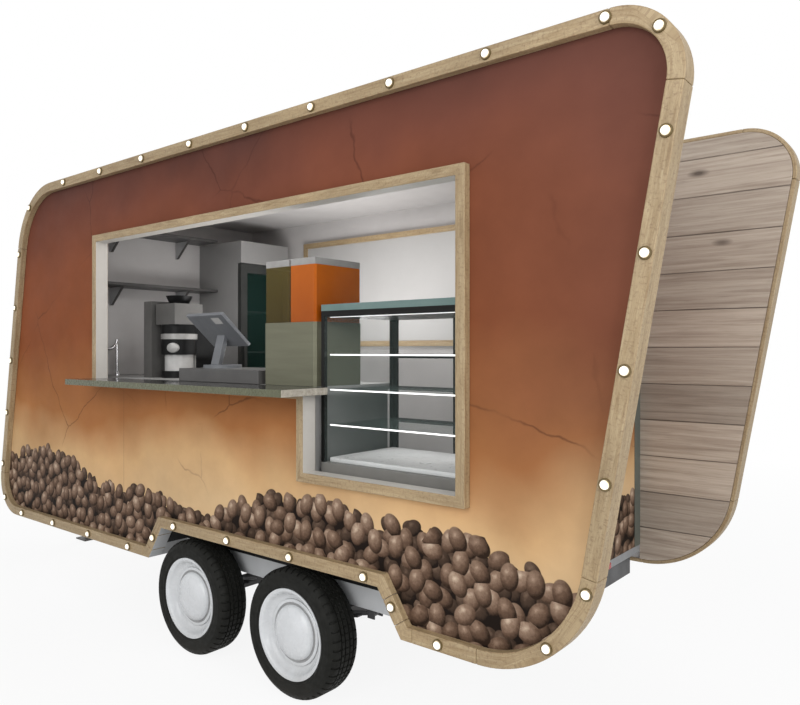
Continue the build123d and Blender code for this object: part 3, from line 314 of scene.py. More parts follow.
def roasted_layer(flat, size, start, tones):
    laid = scaled(flat, (1 / size, 1 / size, 1), (start, start, 0))
    near = {"Vector": laid, "Scale": 1, "Randomness": 0.6}
    cell = add_node("TexVoronoi", near, voronoi_dimensions="2D").outputs
    centre = split(cell["Position"])
    across = times(sums("SUBTRACT", centre["X"], start), size)
    level = times(sums("SUBTRACT", centre["Y"], start), size)
    in_bank = sums("LESS_THAN", level, bank_line(across))
    own = add_node("SeparateColor", {"Color": cell["Color"]}).outputs
    arm = vector_sums("SUBTRACT", laid, cell["Position"])["Vector"]
    turn = {"Vector": arm, "Angle": times(own["Red"], pi)}
    turned = add_node("VectorRotate", turn, rotation_type="Z_AXIS").outputs["Vector"]
    reach = vector_sums("LENGTH", scaled(turned, (0.96, 1.3, 0)))["Value"]
    whole = spread(reach, 1, 0, 0.45, 0.49)
    lit = vector_sums("DOT_PRODUCT", arm, (-0.6, 0.8, 0))["Value"]
    tone = plus(spread(lit, 0.16, 0.78, -0.42, 0.42), spread(own["Green"], -0.13, 0.13, 0, 1))
    tone = plus(tone, spread(cloud(flat, 70, 3), -0.07, 0.07))
    tone = sums("SUBTRACT", tone, spread(reach, 0, 0.26, 0.22, 0.49))
    spot = vector_sums("DISTANCE", arm, (-0.11, 0.16, 0))["Value"]
    tone = plus(tone, spread(spot, 0.14, 0, 0.02, 0.16))
    return times(whole, in_bank), colours(tone, tones)


print("grain sizes:", [layer[0] for layer in LAYERS])

# %% [markdown]
# The ground behind the grains is a row of colours up the panel, pushed about by a slow cloud, darker at the
# rear top corner. The cracks are the cell edges of a second Voronoi pattern, kept only in patches. One
# hairline seam joins two sheets. The faces that look into the cabin are plain sheet.

# %% Printed laminate
PRINT_LOW, PRINT_HIGH = 0.467, 2.844
SEAM_X, SEAM_HALF, SEAM_TOP = -0.331, 0.0012, 1.46
CABIN_X = (-1.2115, 2.2655)
CABIN_Y = (-0.791, 0.948)
GROUND_TONES = [
    (0.15, (0.62, 0.425, 0.235)), (0.25, (0.57, 0.355, 0.175)), (0.355, (0.35, 0.145, 0.052)),
    (0.52, (0.235, 0.073, 0.028)), (0.72, (0.222, 0.07, 0.033)), (0.88, (0.16, 0.055, 0.035)),
    (1, (0.085, 0.036, 0.029)),
]


def between(value, low, high):
    return times(sums("GREATER_THAN", value, low), sums("LESS_THAN", value, high))


def printed_laminate():
    finish, shader = start_finish("printed_laminate", 0.04)
    x, y, z = split(lay(finish))
    along = plus(x, y)
    flat = add_node("CombineXYZ", {"X": along, "Y": z}).outputs["Vector"]
    lift = plus(z, spread(cloud(flat, 0.7, 3), -0.18, 0.18))
    ground = colours(spread(lift, 0, 1, PRINT_LOW, PRINT_HIGH), GROUND_TONES)
    dusk = times(spread(x, 0, 0.75, 1.9, 3.1), spread(z, 0, 1, 0.9, 1.5))
    ground = blend(dusk, ground, (0.115, 0.047, 0.036, 1))
    haze = spread(cloud(flat, 1.7, 6), 0.84, 1.14)
    ground = blend(1, ground, haze, "MULTIPLY")
    bent = add_node("TexNoise", {"Vector": flat, "Scale": 2.2, "Detail": 5}).outputs["Color"]
    cells = {"Vector": blend(0.22, flat, bent, "ADD"), "Scale": 1.15}
    crack = add_node("TexVoronoi", cells, feature="DISTANCE_TO_EDGE").outputs["Distance"]
    patchy = spread(cloud(flat, 1.3, 3), 0, 0.55, 0.45, 0.56)
    line = times(spread(crack, 1, 0, 0, 0.007), patchy)
    ground = blend(line, ground, (0.04, 0.014, 0.01, 1))
    deep = sums("LESS_THAN", plus(z, 0.04), bank_line(along))
    art = blend(deep, ground, (0.012, 0.008, 0.006, 1))
    for size, start, tones in LAYERS:
        grain, grain_colour = roasted_layer(flat, size, start, tones)
        art = blend(grain, art, grain_colour)
    seam = times(between(x, SEAM_X - SEAM_HALF, SEAM_X + SEAM_HALF), sums("LESS_THAN", z, SEAM_TOP))
    art = blend(times(seam, 0.7), art, (0.05, 0.03, 0.02, 1))
    inside = times(between(x, *CABIN_X), between(y, *CABIN_Y))
    sheet = colours(cloud(flat, 2), [(0.3, (0.46, 0.44, 0.43)), (0.7, (0.54, 0.52, 0.51))])
    film = spread(cloud(flat, 6, 6, 0.7), 0.46, 0.62)
    set_looks(shader, blend(inside, art, sheet), film)
    emboss(shader, cloud(flat, 350, 2), 0.05, 0.001)
    return finish


dress(printed_laminate(), "serving_wall", "plain_wall", "front_wall", "rear_wall", "door")

# %% [markdown]
# Weathered planks line the inside of the panels' wings. The grooves are in the solids already, one
# every 205 mm. The finish gives each plank its own tone and its own stretch of grain, streaked along
# the plank, with a few knots and dark splits at the edges.

# %% Weathered planks
PLANK_PITCH = 0.205
PLANK_TONES = [(0.2, (0.255, 0.196, 0.148)), (0.42, (0.377, 0.304, 0.242)),
               (0.6, (0.459, 0.382, 0.309)), (0.85, (0.55, 0.468, 0.389))]


def weathered_plank():
    finish, shader = start_finish("weathered_plank")
    step = sums("DIVIDE", sums("SUBTRACT", split(lay(finish))["Z"], PRINT_LOW), PLANK_PITCH)
    own = add_node("TexWhiteNoise", {"W": sums("FLOOR", step)}, noise_dimensions="1D").outputs["Value"]
    jump = add_node("CombineXYZ", {"X": times(own, 9), "Z": own}).outputs["Vector"]
    place = vector_sums("ADD", lay(finish), jump)["Vector"]
    streaks = scaled(place, (1.8, 7, 50))
    figure = add_node("TexNoise", {"Vector": streaks, "Scale": 1, "Detail": 7, "Distortion": 0.7})
    wood = colours(figure.outputs["Fac"], PLANK_TONES)
    wood = blend(1, wood, spread(own, 0.76, 1.14, 0, 1), "MULTIPLY")
    pores = cloud(scaled(place, (8, 11, 280)), 1, 3)
    wood = blend(spread(pores, 0, 0.35, 0.55, 0.72), wood, (0.16, 0.12, 0.09, 1))
    edge = sums("ABSOLUTE", sums("SUBTRACT", sums("FRACT", step), 0.5))
    edge = plus(edge, spread(cloud(streaks, 0.8, 4), -0.012, 0.012))
    wood = blend(spread(edge, 0, 0.7, 0.482, 0.494), wood, (0.07, 0.05, 0.038, 1))
    knot_place = {"Vector": scaled(place, (1.7, 0.6, 4.6)), "Scale": 1}
    knots = add_node("TexVoronoi", knot_place).outputs["Distance"]
    wood = blend(spread(knots, 0.85, 0, 0.03, 0.11), wood, (0.055, 0.034, 0.024, 1))
    set_looks(shader, wood, spread(pores, 0.5, 0.75))
    emboss(shader, plus(figure.outputs["Fac"], pores), 0.35, 0.002)
    return finish


dress(weathered_plank(), "serving_linings", "plain_linings")

# %% [markdown]
# A solid from the drawing has knife-sharp arrises, and a joiner or a welder never leaves them so. This
# helper copies a node's mesh, merges its loose triangles, melts the flat ones together and rounds the
# arrises with a Bevel modifier. Faces that the bevel squeezed to nothing are dissolved. The copy then
# stands for the node, at the same place and size.

# %% Helper that eases the arrises of a solid
def pick(piece):
    bpy.ops.object.select_all(action="DESELECT")
    bpy.context.view_layer.objects.active = piece
    piece.select_set(True)


def edit_all(piece):
    pick(piece)
    bpy.ops.object.mode_set(mode="EDIT")
    bpy.ops.mesh.select_all(action="SELECT")


def end_edit(smooth=None):
    bpy.ops.object.mode_set(mode="OBJECT")
    if smooth:
        bpy.ops.object.shade_smooth_by_angle(angle=radians(smooth))


def copy_node(name, new_name):
    piece = bpy.data.objects.new(new_name, nodes[name].data.copy())
    scene.collection.objects.link(piece)
    edit_all(piece)
    bpy.ops.mesh.remove_doubles(threshold=0.00005)
    return piece


def ease(name, new_name, finish, width=0.002, steps=2):
    piece = copy_node(name, new_name)
    bpy.ops.mesh.customdata_custom_splitnormals_clear()
    bpy.ops.mesh.dissolve_limited(angle_limit=radians(0.5))
    end_edit(35)
    arris = piece.modifiers.new("arris", "BEVEL")
    arris.harden_normals = True
    arris.width = width
    arris.segments = steps
    arris.limit_method = "ANGLE"
    arris.angle_limit = radians(38)
    bpy.ops.object.modifier_apply(modifier="arris")
    edit_all(piece)
    bpy.ops.mesh.dissolve_degenerate(threshold=0.00002)
    end_edit()
    piece.data.materials.clear()
    piece.data.materials.append(finish)
    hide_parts(name)
    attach(piece, nodes[name]["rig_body"])
    print(new_name, "has", len(piece.data.polygons), "faces")
    return piece


# %% [markdown]
# The frame below the kitchen is welded from steel: pale rails, and everything else in dark paint with
# road dust on it. Each of these solids already has its form, so only the arrises are eased.

# %% Running gear, corner strips and door fittings
ROAD_DUST = ((0.16, 0.135, 0.11), 0.1, 0.55)
dark_steel = coated("dark_steel_paint", (0.028, 0.029, 0.031), (0.055, 0.056, 0.06), dust=ROAD_DUST)
strip_paint = coated("corner_strip_paint", (0.085, 0.095, 0.08), (0.12, 0.13, 0.11), 0.2)
ease("chassis_rails", "chassis_rails_eased", pale_steel, 0.0025)
for name in ("cross_members", "leaf_springs", "spring_hangers", "axle_front", "axle_rear", "drawbar",
             "drawbar_gusset", "coupling", "jack_tube", "jack_leg"):
    ease(name, name + "_eased", dark_steel)
ease("corner_strips", "corner_strips_eased", strip_paint, 0.003)
ease("door_handle", "door_handle_eased", bright_steel, 0.003, 3)
ease("door_hinges", "door_hinges_eased", bright_steel, 0.0012)

# %% [markdown]
# Each wheel well is a folded sheet. Its top, close under the panel's rim, is painted near-black as painted
# shade, where the rim shades it. The sheet is cut round at the lower edge of that band, and the faces above
# the cut take the near-black finish of painted shade, apart from those in the cabin.

# %% Wheel wells
# Lower edge of the band of painted shade on each well's sheet.
PAINTED_SHADE_EDGE = 0.546


def cut_level(piece, height):
    edit_all(piece)
    bpy.ops.mesh.bisect(plane_co=(0, 0, height), plane_no=(0, 0, 1))
    end_edit()


def paint(piece, finish, wanted):
    piece.data.materials.append(finish)
    slot = len(piece.data.materials) - 1
    for face in piece.data.polygons:
        if wanted(face):
            face.material_index = slot


# Painted shade: a near-black finish on the top of each well's sheet, standing for the shade under the
# panel's rim.
well_top_painted_shade = coated("well_top_painted_shade", (0.006, 0.006, 0.006), (0.012, 0.012, 0.011), 0.1, (0.5, 0.7),
                      shine=0.2)
for name, inwards in (("serving_well", 1), ("plain_well", -1)):
    well = ease(name, name + "_sheet", pale_steel, 0.0015)
    cut_level(well, PAINTED_SHADE_EDGE)
    paint(well, well_top_painted_shade, lambda f: f.center.z > PAINTED_SHADE_EDGE and f.normal.z < 0.5
          and f.normal.y * inwards < 0.5)

# %% [markdown]
# The rims and the window frame are pale oak with the grain along each rail: a wavy figure, fine pores along
# it, and flecks across it. Object coordinates would run the grain one way everywhere, so these pieces
# get a UV map of their own, in metres: u is the distance along an outline and v the distance in from it.

# %% Oak with the grain along the rail
OAK_TONES = [(0.2, (0.22, 0.142, 0.066)), (0.42, (0.325, 0.232, 0.124)),
             (0.6, (0.39, 0.29, 0.165)), (0.82, (0.475, 0.378, 0.232))]


def pale_oak():
    finish, shader = start_finish("pale_oak")
    grain_map = first_node(finish, "UVMap")
    grain_map.uv_map = "grain"
    place = grain_map.outputs["UV"]
    board = {"Vector": scaled(place, (5, 70, 1)), "Scale": 1, "Detail": 6, "Distortion": 1.1}
    figure = add_node("TexNoise", board).outputs["Fac"]
    wood = colours(figure, OAK_TONES)
    pores = cloud(scaled(place, (45, 600, 1)), 1, 3)
    wood = blend(spread(pores, 0, 0.6, 0.52, 0.68), wood, (0.17, 0.11, 0.06, 1))
    flecks = cloud(scaled(place, (95, 52, 1)), 1)
    wood = blend(spread(flecks, 0, 0.62, 0.52, 0.66), wood, (0.2, 0.125, 0.066, 1))
    long_tone = cloud(scaled(place, (1.3, 6, 1)), 1)
    wood = blend(1, wood, spread(long_tone, 0.84, 1.12), "MULTIPLY")
    set_looks(shader, wood, spread(pores, 0.42, 0.66))
    emboss(shader, sums("SUBTRACT", figure, pores), 0.3, 0.0012)
    return finish


def lay_grain(piece, outline):
    outline = [Vector(point) for point in outline]
    runs = []
    reached = 0
    for i, here in enumerate(outline):
        ahead = outline[(i + 1) % len(outline)]
        length = (ahead - here).length
        if length > 1e-6:
            runs.append((here, (ahead - here) / length, length, reached))
            reached += length

    def nearest(point):
        best = None
        for here, way, length, start in runs:
            step = min(max((point - here).dot(way), 0), length)
            gap = (here + way * step - point).length
            if best is None or gap < best[1] - 1e-7:
                best = (start + step, gap)
        return best

    mesh = piece.data
    found = [nearest(Vector((v.co.x, v.co.z))) for v in mesh.vertices]
    grain = mesh.uv_layers.new(name="grain")
    for face in mesh.polygons:
        middle = nearest(Vector((face.center.x, face.center.z)))[0]
        for loop in face.loop_indices:
            corner = mesh.loops[loop].vertex_index
            s, gap = found[corner]
            s -= reached * round((s - middle) / reached)
            grain.data[loop].uv = (s, gap + abs(mesh.vertices[corner].co.y))


oak = pale_oak()
print("oak nodes:", len(oak.node_tree.nodes))

# %% [markdown]
# The panel's outline is drawn once: a leaning shape with four rounded corners and a notch over the wheels.
# Both rims are laid along it. Over the wheels the well's sheet folds out under the rim, so the faces that
# look down there are steel.

# %% Rims of the side panels
SHIFT_X = 0.527164
HALF_LENGTH = 2.383
LEAN = tan(radians(10))
PANEL_MIDDLE = (PRINT_LOW + PRINT_HIGH) / 2
TIGHT, WIDE = 0.255, 0.5004
NOTCH_TOP = 0.661


def rounded_outline(corners, steps=14):
    points = []
    count = len(corners)
    for i, (x, z, radius) in enumerate(corners):
        here = Vector((x, z))
        back = (Vector(corners[i - 1][:2]) - here).normalized()
        ahead = (Vector(corners[(i + 1) % count][:2]) - here).normalized()
        if not radius:
            points.append(here)
            continue
        half = back.angle(ahead) / 2
        centre = here + (back + ahead).normalized() * (radius / sin(half))
        start = here + back * (radius / tan(half)) - centre
        stop = here + ahead * (radius / tan(half)) - centre
        turn = start.angle(stop)
        for k in range(steps + 1):
            share = k / steps
            arm = start * (sin((1 - share) * turn) / sin(turn)) + stop * (sin(share * turn) / sin(turn))
            points.append(centre + arm)
    return points


def panel_corner(end, z, radius):
    return (SHIFT_X + end * HALF_LENGTH + LEAN * (z - PANEL_MIDDLE), z, radius)


def over_wheels(face):
    in_notch = well_low.x < face.center.x < well_high.x and face.center.z < well_high.z
    return in_notch and face.normal.z < -0.3 and abs(face.normal.y) < 0.3


panel_outline = rounded_outline([
    panel_corner(-1, PRINT_LOW, TIGHT), (SHIFT_X - 0.523, PRINT_LOW, 0),
    (SHIFT_X - 0.393, NOTCH_TOP, 0), (SHIFT_X + 1.247, NOTCH_TOP, 0), (SHIFT_X + 1.377, PRINT_LOW, 0),
    panel_corner(1, PRINT_LOW, WIDE), panel_corner(1, PRINT_HIGH, TIGHT),
    panel_corner(-1, PRINT_HIGH, WIDE),
])
well_low, well_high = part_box("serving_well")
for side in ("serving", "plain"):
    rim = ease(side + "_rim", side + "_oak_rim", oak, 0.004, 3)
    lay_grain(rim, panel_outline)
    paint(rim, pale_steel, over_wheels)

# %% [markdown]
# The window is framed in the same oak. Its outline steps down behind the display case, and the grain
# map follows the six sides. The faces that line the opening are pale laminate, as the real reveal is.

# %% Window frame
STEP_X = SHIFT_X + 0.738
STEP_Z = 1.45
frame_low, frame_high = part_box("window_frame")
window_outline = [
    (STEP_X, frame_low.z), (frame_high.x, frame_low.z), (frame_high.x, frame_high.z),
    (frame_low.x, frame_high.z), (frame_low.x, STEP_Z), (STEP_X, STEP_Z),
]
window = ease("window_frame", "window_oak_frame", oak, 0.003)
lay_grain(window, window_outline)
reveal_sheet = coated("reveal_sheet", (0.47, 0.44, 0.4), (0.56, 0.53, 0.49), 0.3, (0.4, 0.55), 0.003, 0.05)
paint(window, reveal_sheet, lambda f: abs(f.normal.y) < 0.3 and f.center.y > frame_low.y + 0.03)

# %% [markdown]
# Round pieces are turned as on a lathe: half a section is drawn as a chain of points, each a radius and a
# distance along the axis in millimetres, and spun once round. What repeats is turned once, then copied.

# %% Helpers to turn, copy and join pieces
MM = 0.001


def name_active(name):
    piece = bpy.context.active_object
    piece.name = name
    piece.data.name = name
    return piece


def extrude(step):
    bpy.ops.mesh.extrude_region_move(TRANSFORM_OT_translate={"value": step})


def close_up(smooth):
    bpy.ops.mesh.remove_doubles(threshold=0.00002)
    bpy.ops.mesh.normals_make_consistent(inside=False)
    end_edit(smooth)


def lathe(name, section, steps, finish, upright=False):
    half = [(r * MM, w * MM) for r, w in section]
    points = [Vector((r, 0, w) if upright else (r, w, 0)) for r, w in half]
    bpy.ops.mesh.primitive_plane_add(size=0.001, location=(0, 0, 0))
    piece = name_active(name)
    edit_all(piece)
    bpy.ops.mesh.merge(type="CENTER")
    bpy.ops.transform.translate(value=points[0])
    for here, ahead in zip(points, points[1:]):
        extrude(ahead - here)
    bpy.ops.mesh.select_all(action="SELECT")
    axis = (0, 0, 1) if upright else (0, 1, 0)
    bpy.ops.mesh.spin(steps=steps, angle=2 * pi, center=(0, 0, 0), axis=axis)
    bpy.ops.mesh.select_all(action="SELECT")
    close_up(35)
    piece.data.materials.append(finish)
    print(name, "has", len(piece.data.polygons), "faces")
    return piece


def copy_to(piece, name, move):
    twin = bpy.data.objects.new(name, piece.data.copy())
    twin.data.transform(move)
    twin.data.update()
    scene.collection.objects.link(twin)
    return twin


def join_all(pieces, name):
    pick(pieces[0])
    for piece in pieces:
        piece.select_set(True)
    bpy.ops.object.join()
    return name_active(name)


def drop(*pieces):
    for piece in pieces:
        bpy.data.objects.remove(piece)


# %% [markdown]
# Small globe lamps run round both rims, each in a dark cup. The frame's own bulbs give the places, found by
# splitting a copy of the node into its islands. The rim of each globe glows less than its middle.

# %% Globe lamps
def islands(name):
    copy_node(name, name + "_islands")
    bpy.ops.mesh.separate(type="LOOSE")
    end_edit()
    parts = list(bpy.context.selected_objects)
    places = []
    for part in parts:
        spots = [v.co for v in part.data.vertices]
        low = Vector([min(values) for values in zip(*spots)])
        high = Vector([max(values) for values in zip(*spots)])
        places.append((low, high))
    drop(*parts)
    return places


def glowing(name, colour, glow):
    finish, shader = start_finish(name)
    place = lay(finish)
    warm = colours(cloud(place, 60, 2), [(0.3, colour), (0.7, (1, 0.98, 0.93))])
    set_looks(shader, warm, spread(cloud(place, 200), 0.18, 0.32))
    join_to(warm, shader.inputs["Emission Color"])
    shader.inputs["Emission Strength"].default_value = glow
    return finish


GLOBE_RADIUS, GLOBE_SEAT, GLOBE_RISE = 16.9, -6, 12
globe_light = glowing("globe_light", (1, 0.9, 0.7), 0.85)
globe_edge = glowing("globe_edge", (0.92, 0.7, 0.38), 0.35)
cup_bronze = coated("cup_bronze", (0.085, 0.058, 0.02), (0.15, 0.105, 0.04), 0.02, (0.3, 0.5), 0.001, 0.1)
cup_section = [(15.6, 0), (23.2, 0), (23.2, -5), (22.1, -8.2),
               (20, -9.4), (17.6, -7.8), (15.8, -4), (15.6, 0)]
cup = lathe("lamp_cup", cup_section, 20, cup_bronze)
globe_section = [(0, GLOBE_SEAT)]
for a in range(0, 91, 15):
    globe_section.append((GLOBE_RADIUS * cos(radians(a)), GLOBE_SEAT - GLOBE_RISE * sin(radians(a))))
globe = lathe("lamp_globe", globe_section, 20, globe_light)
paint(globe, globe_edge, lambda f: f.center.y > (GLOBE_SEAT - 5) * MM)
for side, half_turn in (("serving", 0), ("plain", pi)):
    cups, globes = [], []
    for low, high in islands(side + "_bulbs"):
        root = low.y if half_turn else high.y
        move = Matrix.Translation(((low.x + high.x) / 2, root, (low.z + high.z) / 2))
        move = move @ Matrix.Rotation(half_turn, 4, "Z")
        cups.append(copy_to(cup, "cup", move))
        globes.append(copy_to(globe, "globe", move))
    print(side, "side:", len(cups), "lamps")
    lamp_cups = join_all(cups, side + "_lamp_cups")
    lamp_globes = join_all(globes, side + "_lamp_globes")
    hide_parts(side + "_bulbs")
    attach(lamp_cups, "trailer")
    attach(lamp_globes, "trailer")
drop(cup, globe)

# %% [markdown]
# The tyres are small van tyres. One is modelled: half a section with ribs and grooves is mirrored and
# spun in 180 steps, then every fourth shoulder face is pushed in to cut the lugs, and thin slits
# are sunk in the middle ribs. Copies go to the four wheels and turn with them.

# %% Tyres
TREAD_STEPS = 180
rubber = coated("tyre_rubber", (0.007, 0.007, 0.006), (0.014, 0.014, 0.012), 0.05, (0.5, 0.75), 0.003, 0.25,
                dust=((0.05, 0.044, 0.036), -0.05, 0.14), shine=0.12)
half_section = [
    (207, 66), (214, 76.5), (221, 82.5), (229, 86.8), (231, 89), (234.5, 89),
    (236, 88.5), (248, 91.3), (260, 92.2), (272, 90.5), (274, 91.2), (276.5, 90.5),
    (286, 86.2), (295, 80.5), (301.5, 74.5), (307, 67.5), (310.5, 60), (312.2, 52),
    (312.5, 43), (306, 42), (305.5, 36), (312.5, 35),
    (312.5, 19), (306, 18), (305.5, 12), (312.5, 11),
]
tyre_section = half_section + [(r, -w) for r, w in reversed(half_section)] + half_section[:1]


def sink_faces(piece, wanted, margin, depth):
    pick(piece)
    for face in piece.data.polygons:
        face.select = wanted(face)
    bpy.context.tool_settings.mesh_select_mode = (False, False, True)
    bpy.ops.object.mode_set(mode="EDIT")
    bpy.ops.mesh.inset(thickness=margin, depth=depth, use_individual=False)
    end_edit()
    bpy.context.tool_settings.mesh_select_mode = (True, False, False)


def tread_step(face):
    angle = Vector((face.center.x, face.center.z)).angle_signed(Vector((1, 0)))
    return int(angle / (2 * pi) * TREAD_STEPS + 2 * TREAD_STEPS) % TREAD_STEPS


def is_lug_gap(face):
    on_shoulder = 0.0432 < abs(face.center.y) < 0.079
    side_shift = 2 if face.center.y > 0 else 0
    return on_shoulder and (tread_step(face) + side_shift) % 4 == 0


def is_slit(face):
    on_rib = abs(face.center.y) < 0.0105 or 0.0195 < abs(face.center.y) < 0.0345
    return on_rib and hypot(face.center.x, face.center.z) > 0.311 and tread_step(face) % 3 == 0


tyre = lathe("tyre", tyre_section, TREAD_STEPS, rubber)
sink_faces(tyre, is_lug_gap, 0.0012, -0.0055)
sink_faces(tyre, is_slit, 0.0038, -0.004)
bpy.ops.object.shade_smooth_by_angle(angle=radians(35))
print("with its tread it has", len(tyre.data.polygons), "faces")

# %% [markdown]
# The wheels are pressed steel, sprayed pale grey, with a rolled flange, a deep dish and a smooth domed
# cap. The section runs from the flange to the middle, with its corners drawn round. The hidden side is
# turned apart and merged on. The groove round the cap and the dish's corner are painted darker grey as
# painted shade.

# %% Wheels
wheel_paint = coated("wheel_paint", (0.56, 0.57, 0.58), (0.66, 0.67, 0.68), 0.12, (0.2, 0.34), 0.003, 0.08,
                     dust=((0.3, 0.28, 0.25), 0.02, 0.24))
# Painted shade: a darker grey for the groove round the cap and the dish's corner, where shade falls.
groove_shade_paint = coated("wheel_groove_painted_shade", (0.22, 0.22, 0.22), (0.34, 0.34, 0.34), 0.05, (0.5, 0.7), 0.003, 0.1)
wheel_section = [
    (194.7, -84), (218, -84), (219, -79), (206, -74), (204.7, -70), (204.7, 70),
    (206, 74), (219, 79), (218, 83.6), (212, 83.8), (206, 81.5), (199, 77),
    (195, 70), (191, 62), (186, 54), (178, 45.5), (169, 39.5), (160, 37.5),
    (159, 43), (155.5, 46.2), (150, 46.8), (144, 45), (138.5, 42.5), (134.5, 43),
    (132, 46.5), (129.5, 53), (124.5, 60.2), (115, 67.2), (101, 73.6), (82, 79),
    (60, 82.8), (38, 84.8), (18, 85.7), (0, 86),
]
back_section = [(0, 46), (25.1, 46), (25.1, -60), (48, -60), (48, 24),
                (150, 24), (175, 19), (194.7, 14), (194.7, -84)]


# Faces in the groove round the cap and in the dish's corner, which take the painted shade.
def is_shaded_groove(face):
    reach = hypot(face.center.x, face.center.z)
    return face.center.y > 0.03 and (0.1315 < reach < 0.145 or 0.1588 < reach < 0.16)


outer_side = lathe("wheel", wheel_section, 96, wheel_paint)
hidden_side = lathe("wheel_back", back_section, 96, wheel_paint)
wheel = join_all([outer_side, hidden_side], "wheel")
edit_all(wheel)
close_up(40)
paint(wheel, groove_shade_paint, is_shaded_groove)
for side, half_turn in (("serving", pi), ("plain", 0)):
    for end in ("front", "rear"):
        low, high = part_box(f"tyre_{side}_{end}")
        place = Matrix.Translation((low + high) / 2) @ Matrix.Rotation(half_turn, 4, "Z")
        for kind, model in (("tyre", tyre), ("wheel", wheel)):
            own = copy_to(model, f"{side}_{end}_{kind}", place)
            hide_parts(f"{kind}_{side}_{end}")
            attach(own, f"{side}_{end}_wheel")
        print(side, end, "wheel at", [round(v, 3) for v in place.translation])
drop(tyre, wheel)

# %% [markdown]
# The serving ledge is a slab of dark polished stone with a green-grey front edge and a paler sawn end.
# The eased copy has three finishes, given to its faces by the way they look.

# %% Serving ledge
polished_stone = coated("polished_stone", (0.03, 0.029, 0.028), (0.055, 0.053, 0.051), 0.03, (0.08, 0.2),
                        0.004, 0.04)
green_edge = coated("green_edge", (0.075, 0.078, 0.042), (0.115, 0.118, 0.068), 0.04, (0.2, 0.35),
                    0.004, 0.06)
sawn_stone = coated("sawn_stone", (0.24, 0.21, 0.17), (0.5, 0.46, 0.39), 0.02, (0.5, 0.7), 0.003, 0.2)
ledge = ease("counter_slab", "serving_ledge", polished_stone, 0.003, 3)
paint(ledge, green_edge, lambda f: abs(f.normal.z) < 0.8)
paint(ledge, sawn_stone, lambda f: f.normal.x > 0.6)

# %% [markdown]
# Behind the ledge stand laminate cabinets, with doors that show as thin shadow lines. The doors are cut
# by insetting the aisle-side faces of an eased copy. The stand under the display case is made alike.

# %% Cabinets
DOOR_MARGIN, DOOR_SHADOW = 0.012, 0.002
cabinet_sheet = coated("cabinet_sheet", (0.3, 0.295, 0.285), (0.37, 0.365, 0.355), 0.3, (0.35, 0.5),
                       0.003, 0.05)
for name in ("counter", "case_stand"):
    cabinet = ease(name, name + "_cabinet", cabinet_sheet)
    sink_faces(cabinet, lambda f: f.normal.y > 0.9 and f.area > 0.2, DOOR_MARGIN, -DOOR_SHADOW)

# %% [markdown]
# The display case has black posts and canopy, a teal glass top and a grey plinth. They are one eased copy,
# cut level at the top and at the deck, with a finish for each part.

# %% Display case
frame_black = coated("case_black", (0.007, 0.007, 0.007), (0.013, 0.013, 0.012), 0.3, (0.3, 0.4),
                     0.002, 0.04, shine=0.12)
teal_top = coated("teal_glass_top", (0.1, 0.165, 0.155), (0.15, 0.22, 0.205), 0.2, (0.05, 0.12), 0.01, 0.02)
plinth_grey = coated("plinth_grey", (0.17, 0.163, 0.15), (0.22, 0.212, 0.195), 0.2, (0.4, 0.55),
                     0.003, 0.05)
case_low, case_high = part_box("display_case")
case_middle = (case_low + case_high) / 2
canopy_split = case_high.z - 0.032
deck = case_low.z + 0.058
case = ease("display_case", "display_case_body", frame_black)
cut_level(case, canopy_split)
cut_level(case, deck)
paint(case, teal_top, lambda f: f.center.z > canopy_split)
paint(case, plinth_grey, lambda f: f.center.z < deck + 0.0005)

# %% [markdown]
# Inside it are a pale tray, lit strips along the fronts of the glass shelves, and three flat black bars on
# the rear posts. Each is a block with rounded edges and one sunk face. A small lamp under the canopy
# stands in for the light of the strips.

# %% Tray, strips and bars of the display case
TRAY_GAP, STRIP_GAP = 0.03, 0.024
STRIP_LEVELS = (1.318, 1.49, 1.661, 1.846)
BAR_HALF, BAR_GAP = 0.024, 0.003


def add_block(name, low, high, finish, round_by=0.002, steps=2):
    low, high = Vector(low), Vector(high)
    bpy.ops.mesh.primitive_cube_add(size=1, location=(low + high) / 2)
    piece = name_active(name)
    piece.scale = high - low
    bpy.ops.object.transform_apply(location=True, rotation=True, scale=True)
    edit_all(piece)
    bpy.ops.mesh.bevel(offset=round_by, segments=steps, affect="EDGES")
    end_edit(35)
    piece.data.materials.append(finish)
    return piece


tray_white = coated("tray_white", (0.66, 0.66, 0.65), (0.76, 0.76, 0.75), 0.1, (0.25, 0.4), 0.003, 0.04)
tray = add_block("case_tray", (case_low.x + TRAY_GAP, case_low.y + TRAY_GAP, deck),
                 (case_high.x - TRAY_GAP, case_high.y - TRAY_GAP, deck + 0.022), tray_white, 0.004)
sink_faces(tray, lambda f: f.normal.z > 0.9 and f.area > 0.1, 0.01, -0.014)
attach(tray, "trailer")
strip_light = glowing("shelf_strip_light", (0.95, 0.97, 1), 0.9)
strips = []
for level in STRIP_LEVELS:
    strip = add_block("strip", (case_low.x + STRIP_GAP, case_low.y + 0.0365, level - 0.005),
                      (case_high.x - STRIP_GAP, case_low.y + 0.0435, level + 0.002), strip_light, 0.001)
    sink_faces(strip, lambda f: f.normal.y < -0.9 and f.area > 0.002, 0.001, -0.0005)
    strips.append(strip)
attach(join_all(strips, "shelf_strip_lights"), "trailer")
case_lamp_place = (case_middle.x, case_middle.y, case_high.z - 0.07)
add_lamp("case_lamp", case_lamp_place, (case_middle.x, case_middle.y, deck), 0.4, 2.2)
back_bars = []
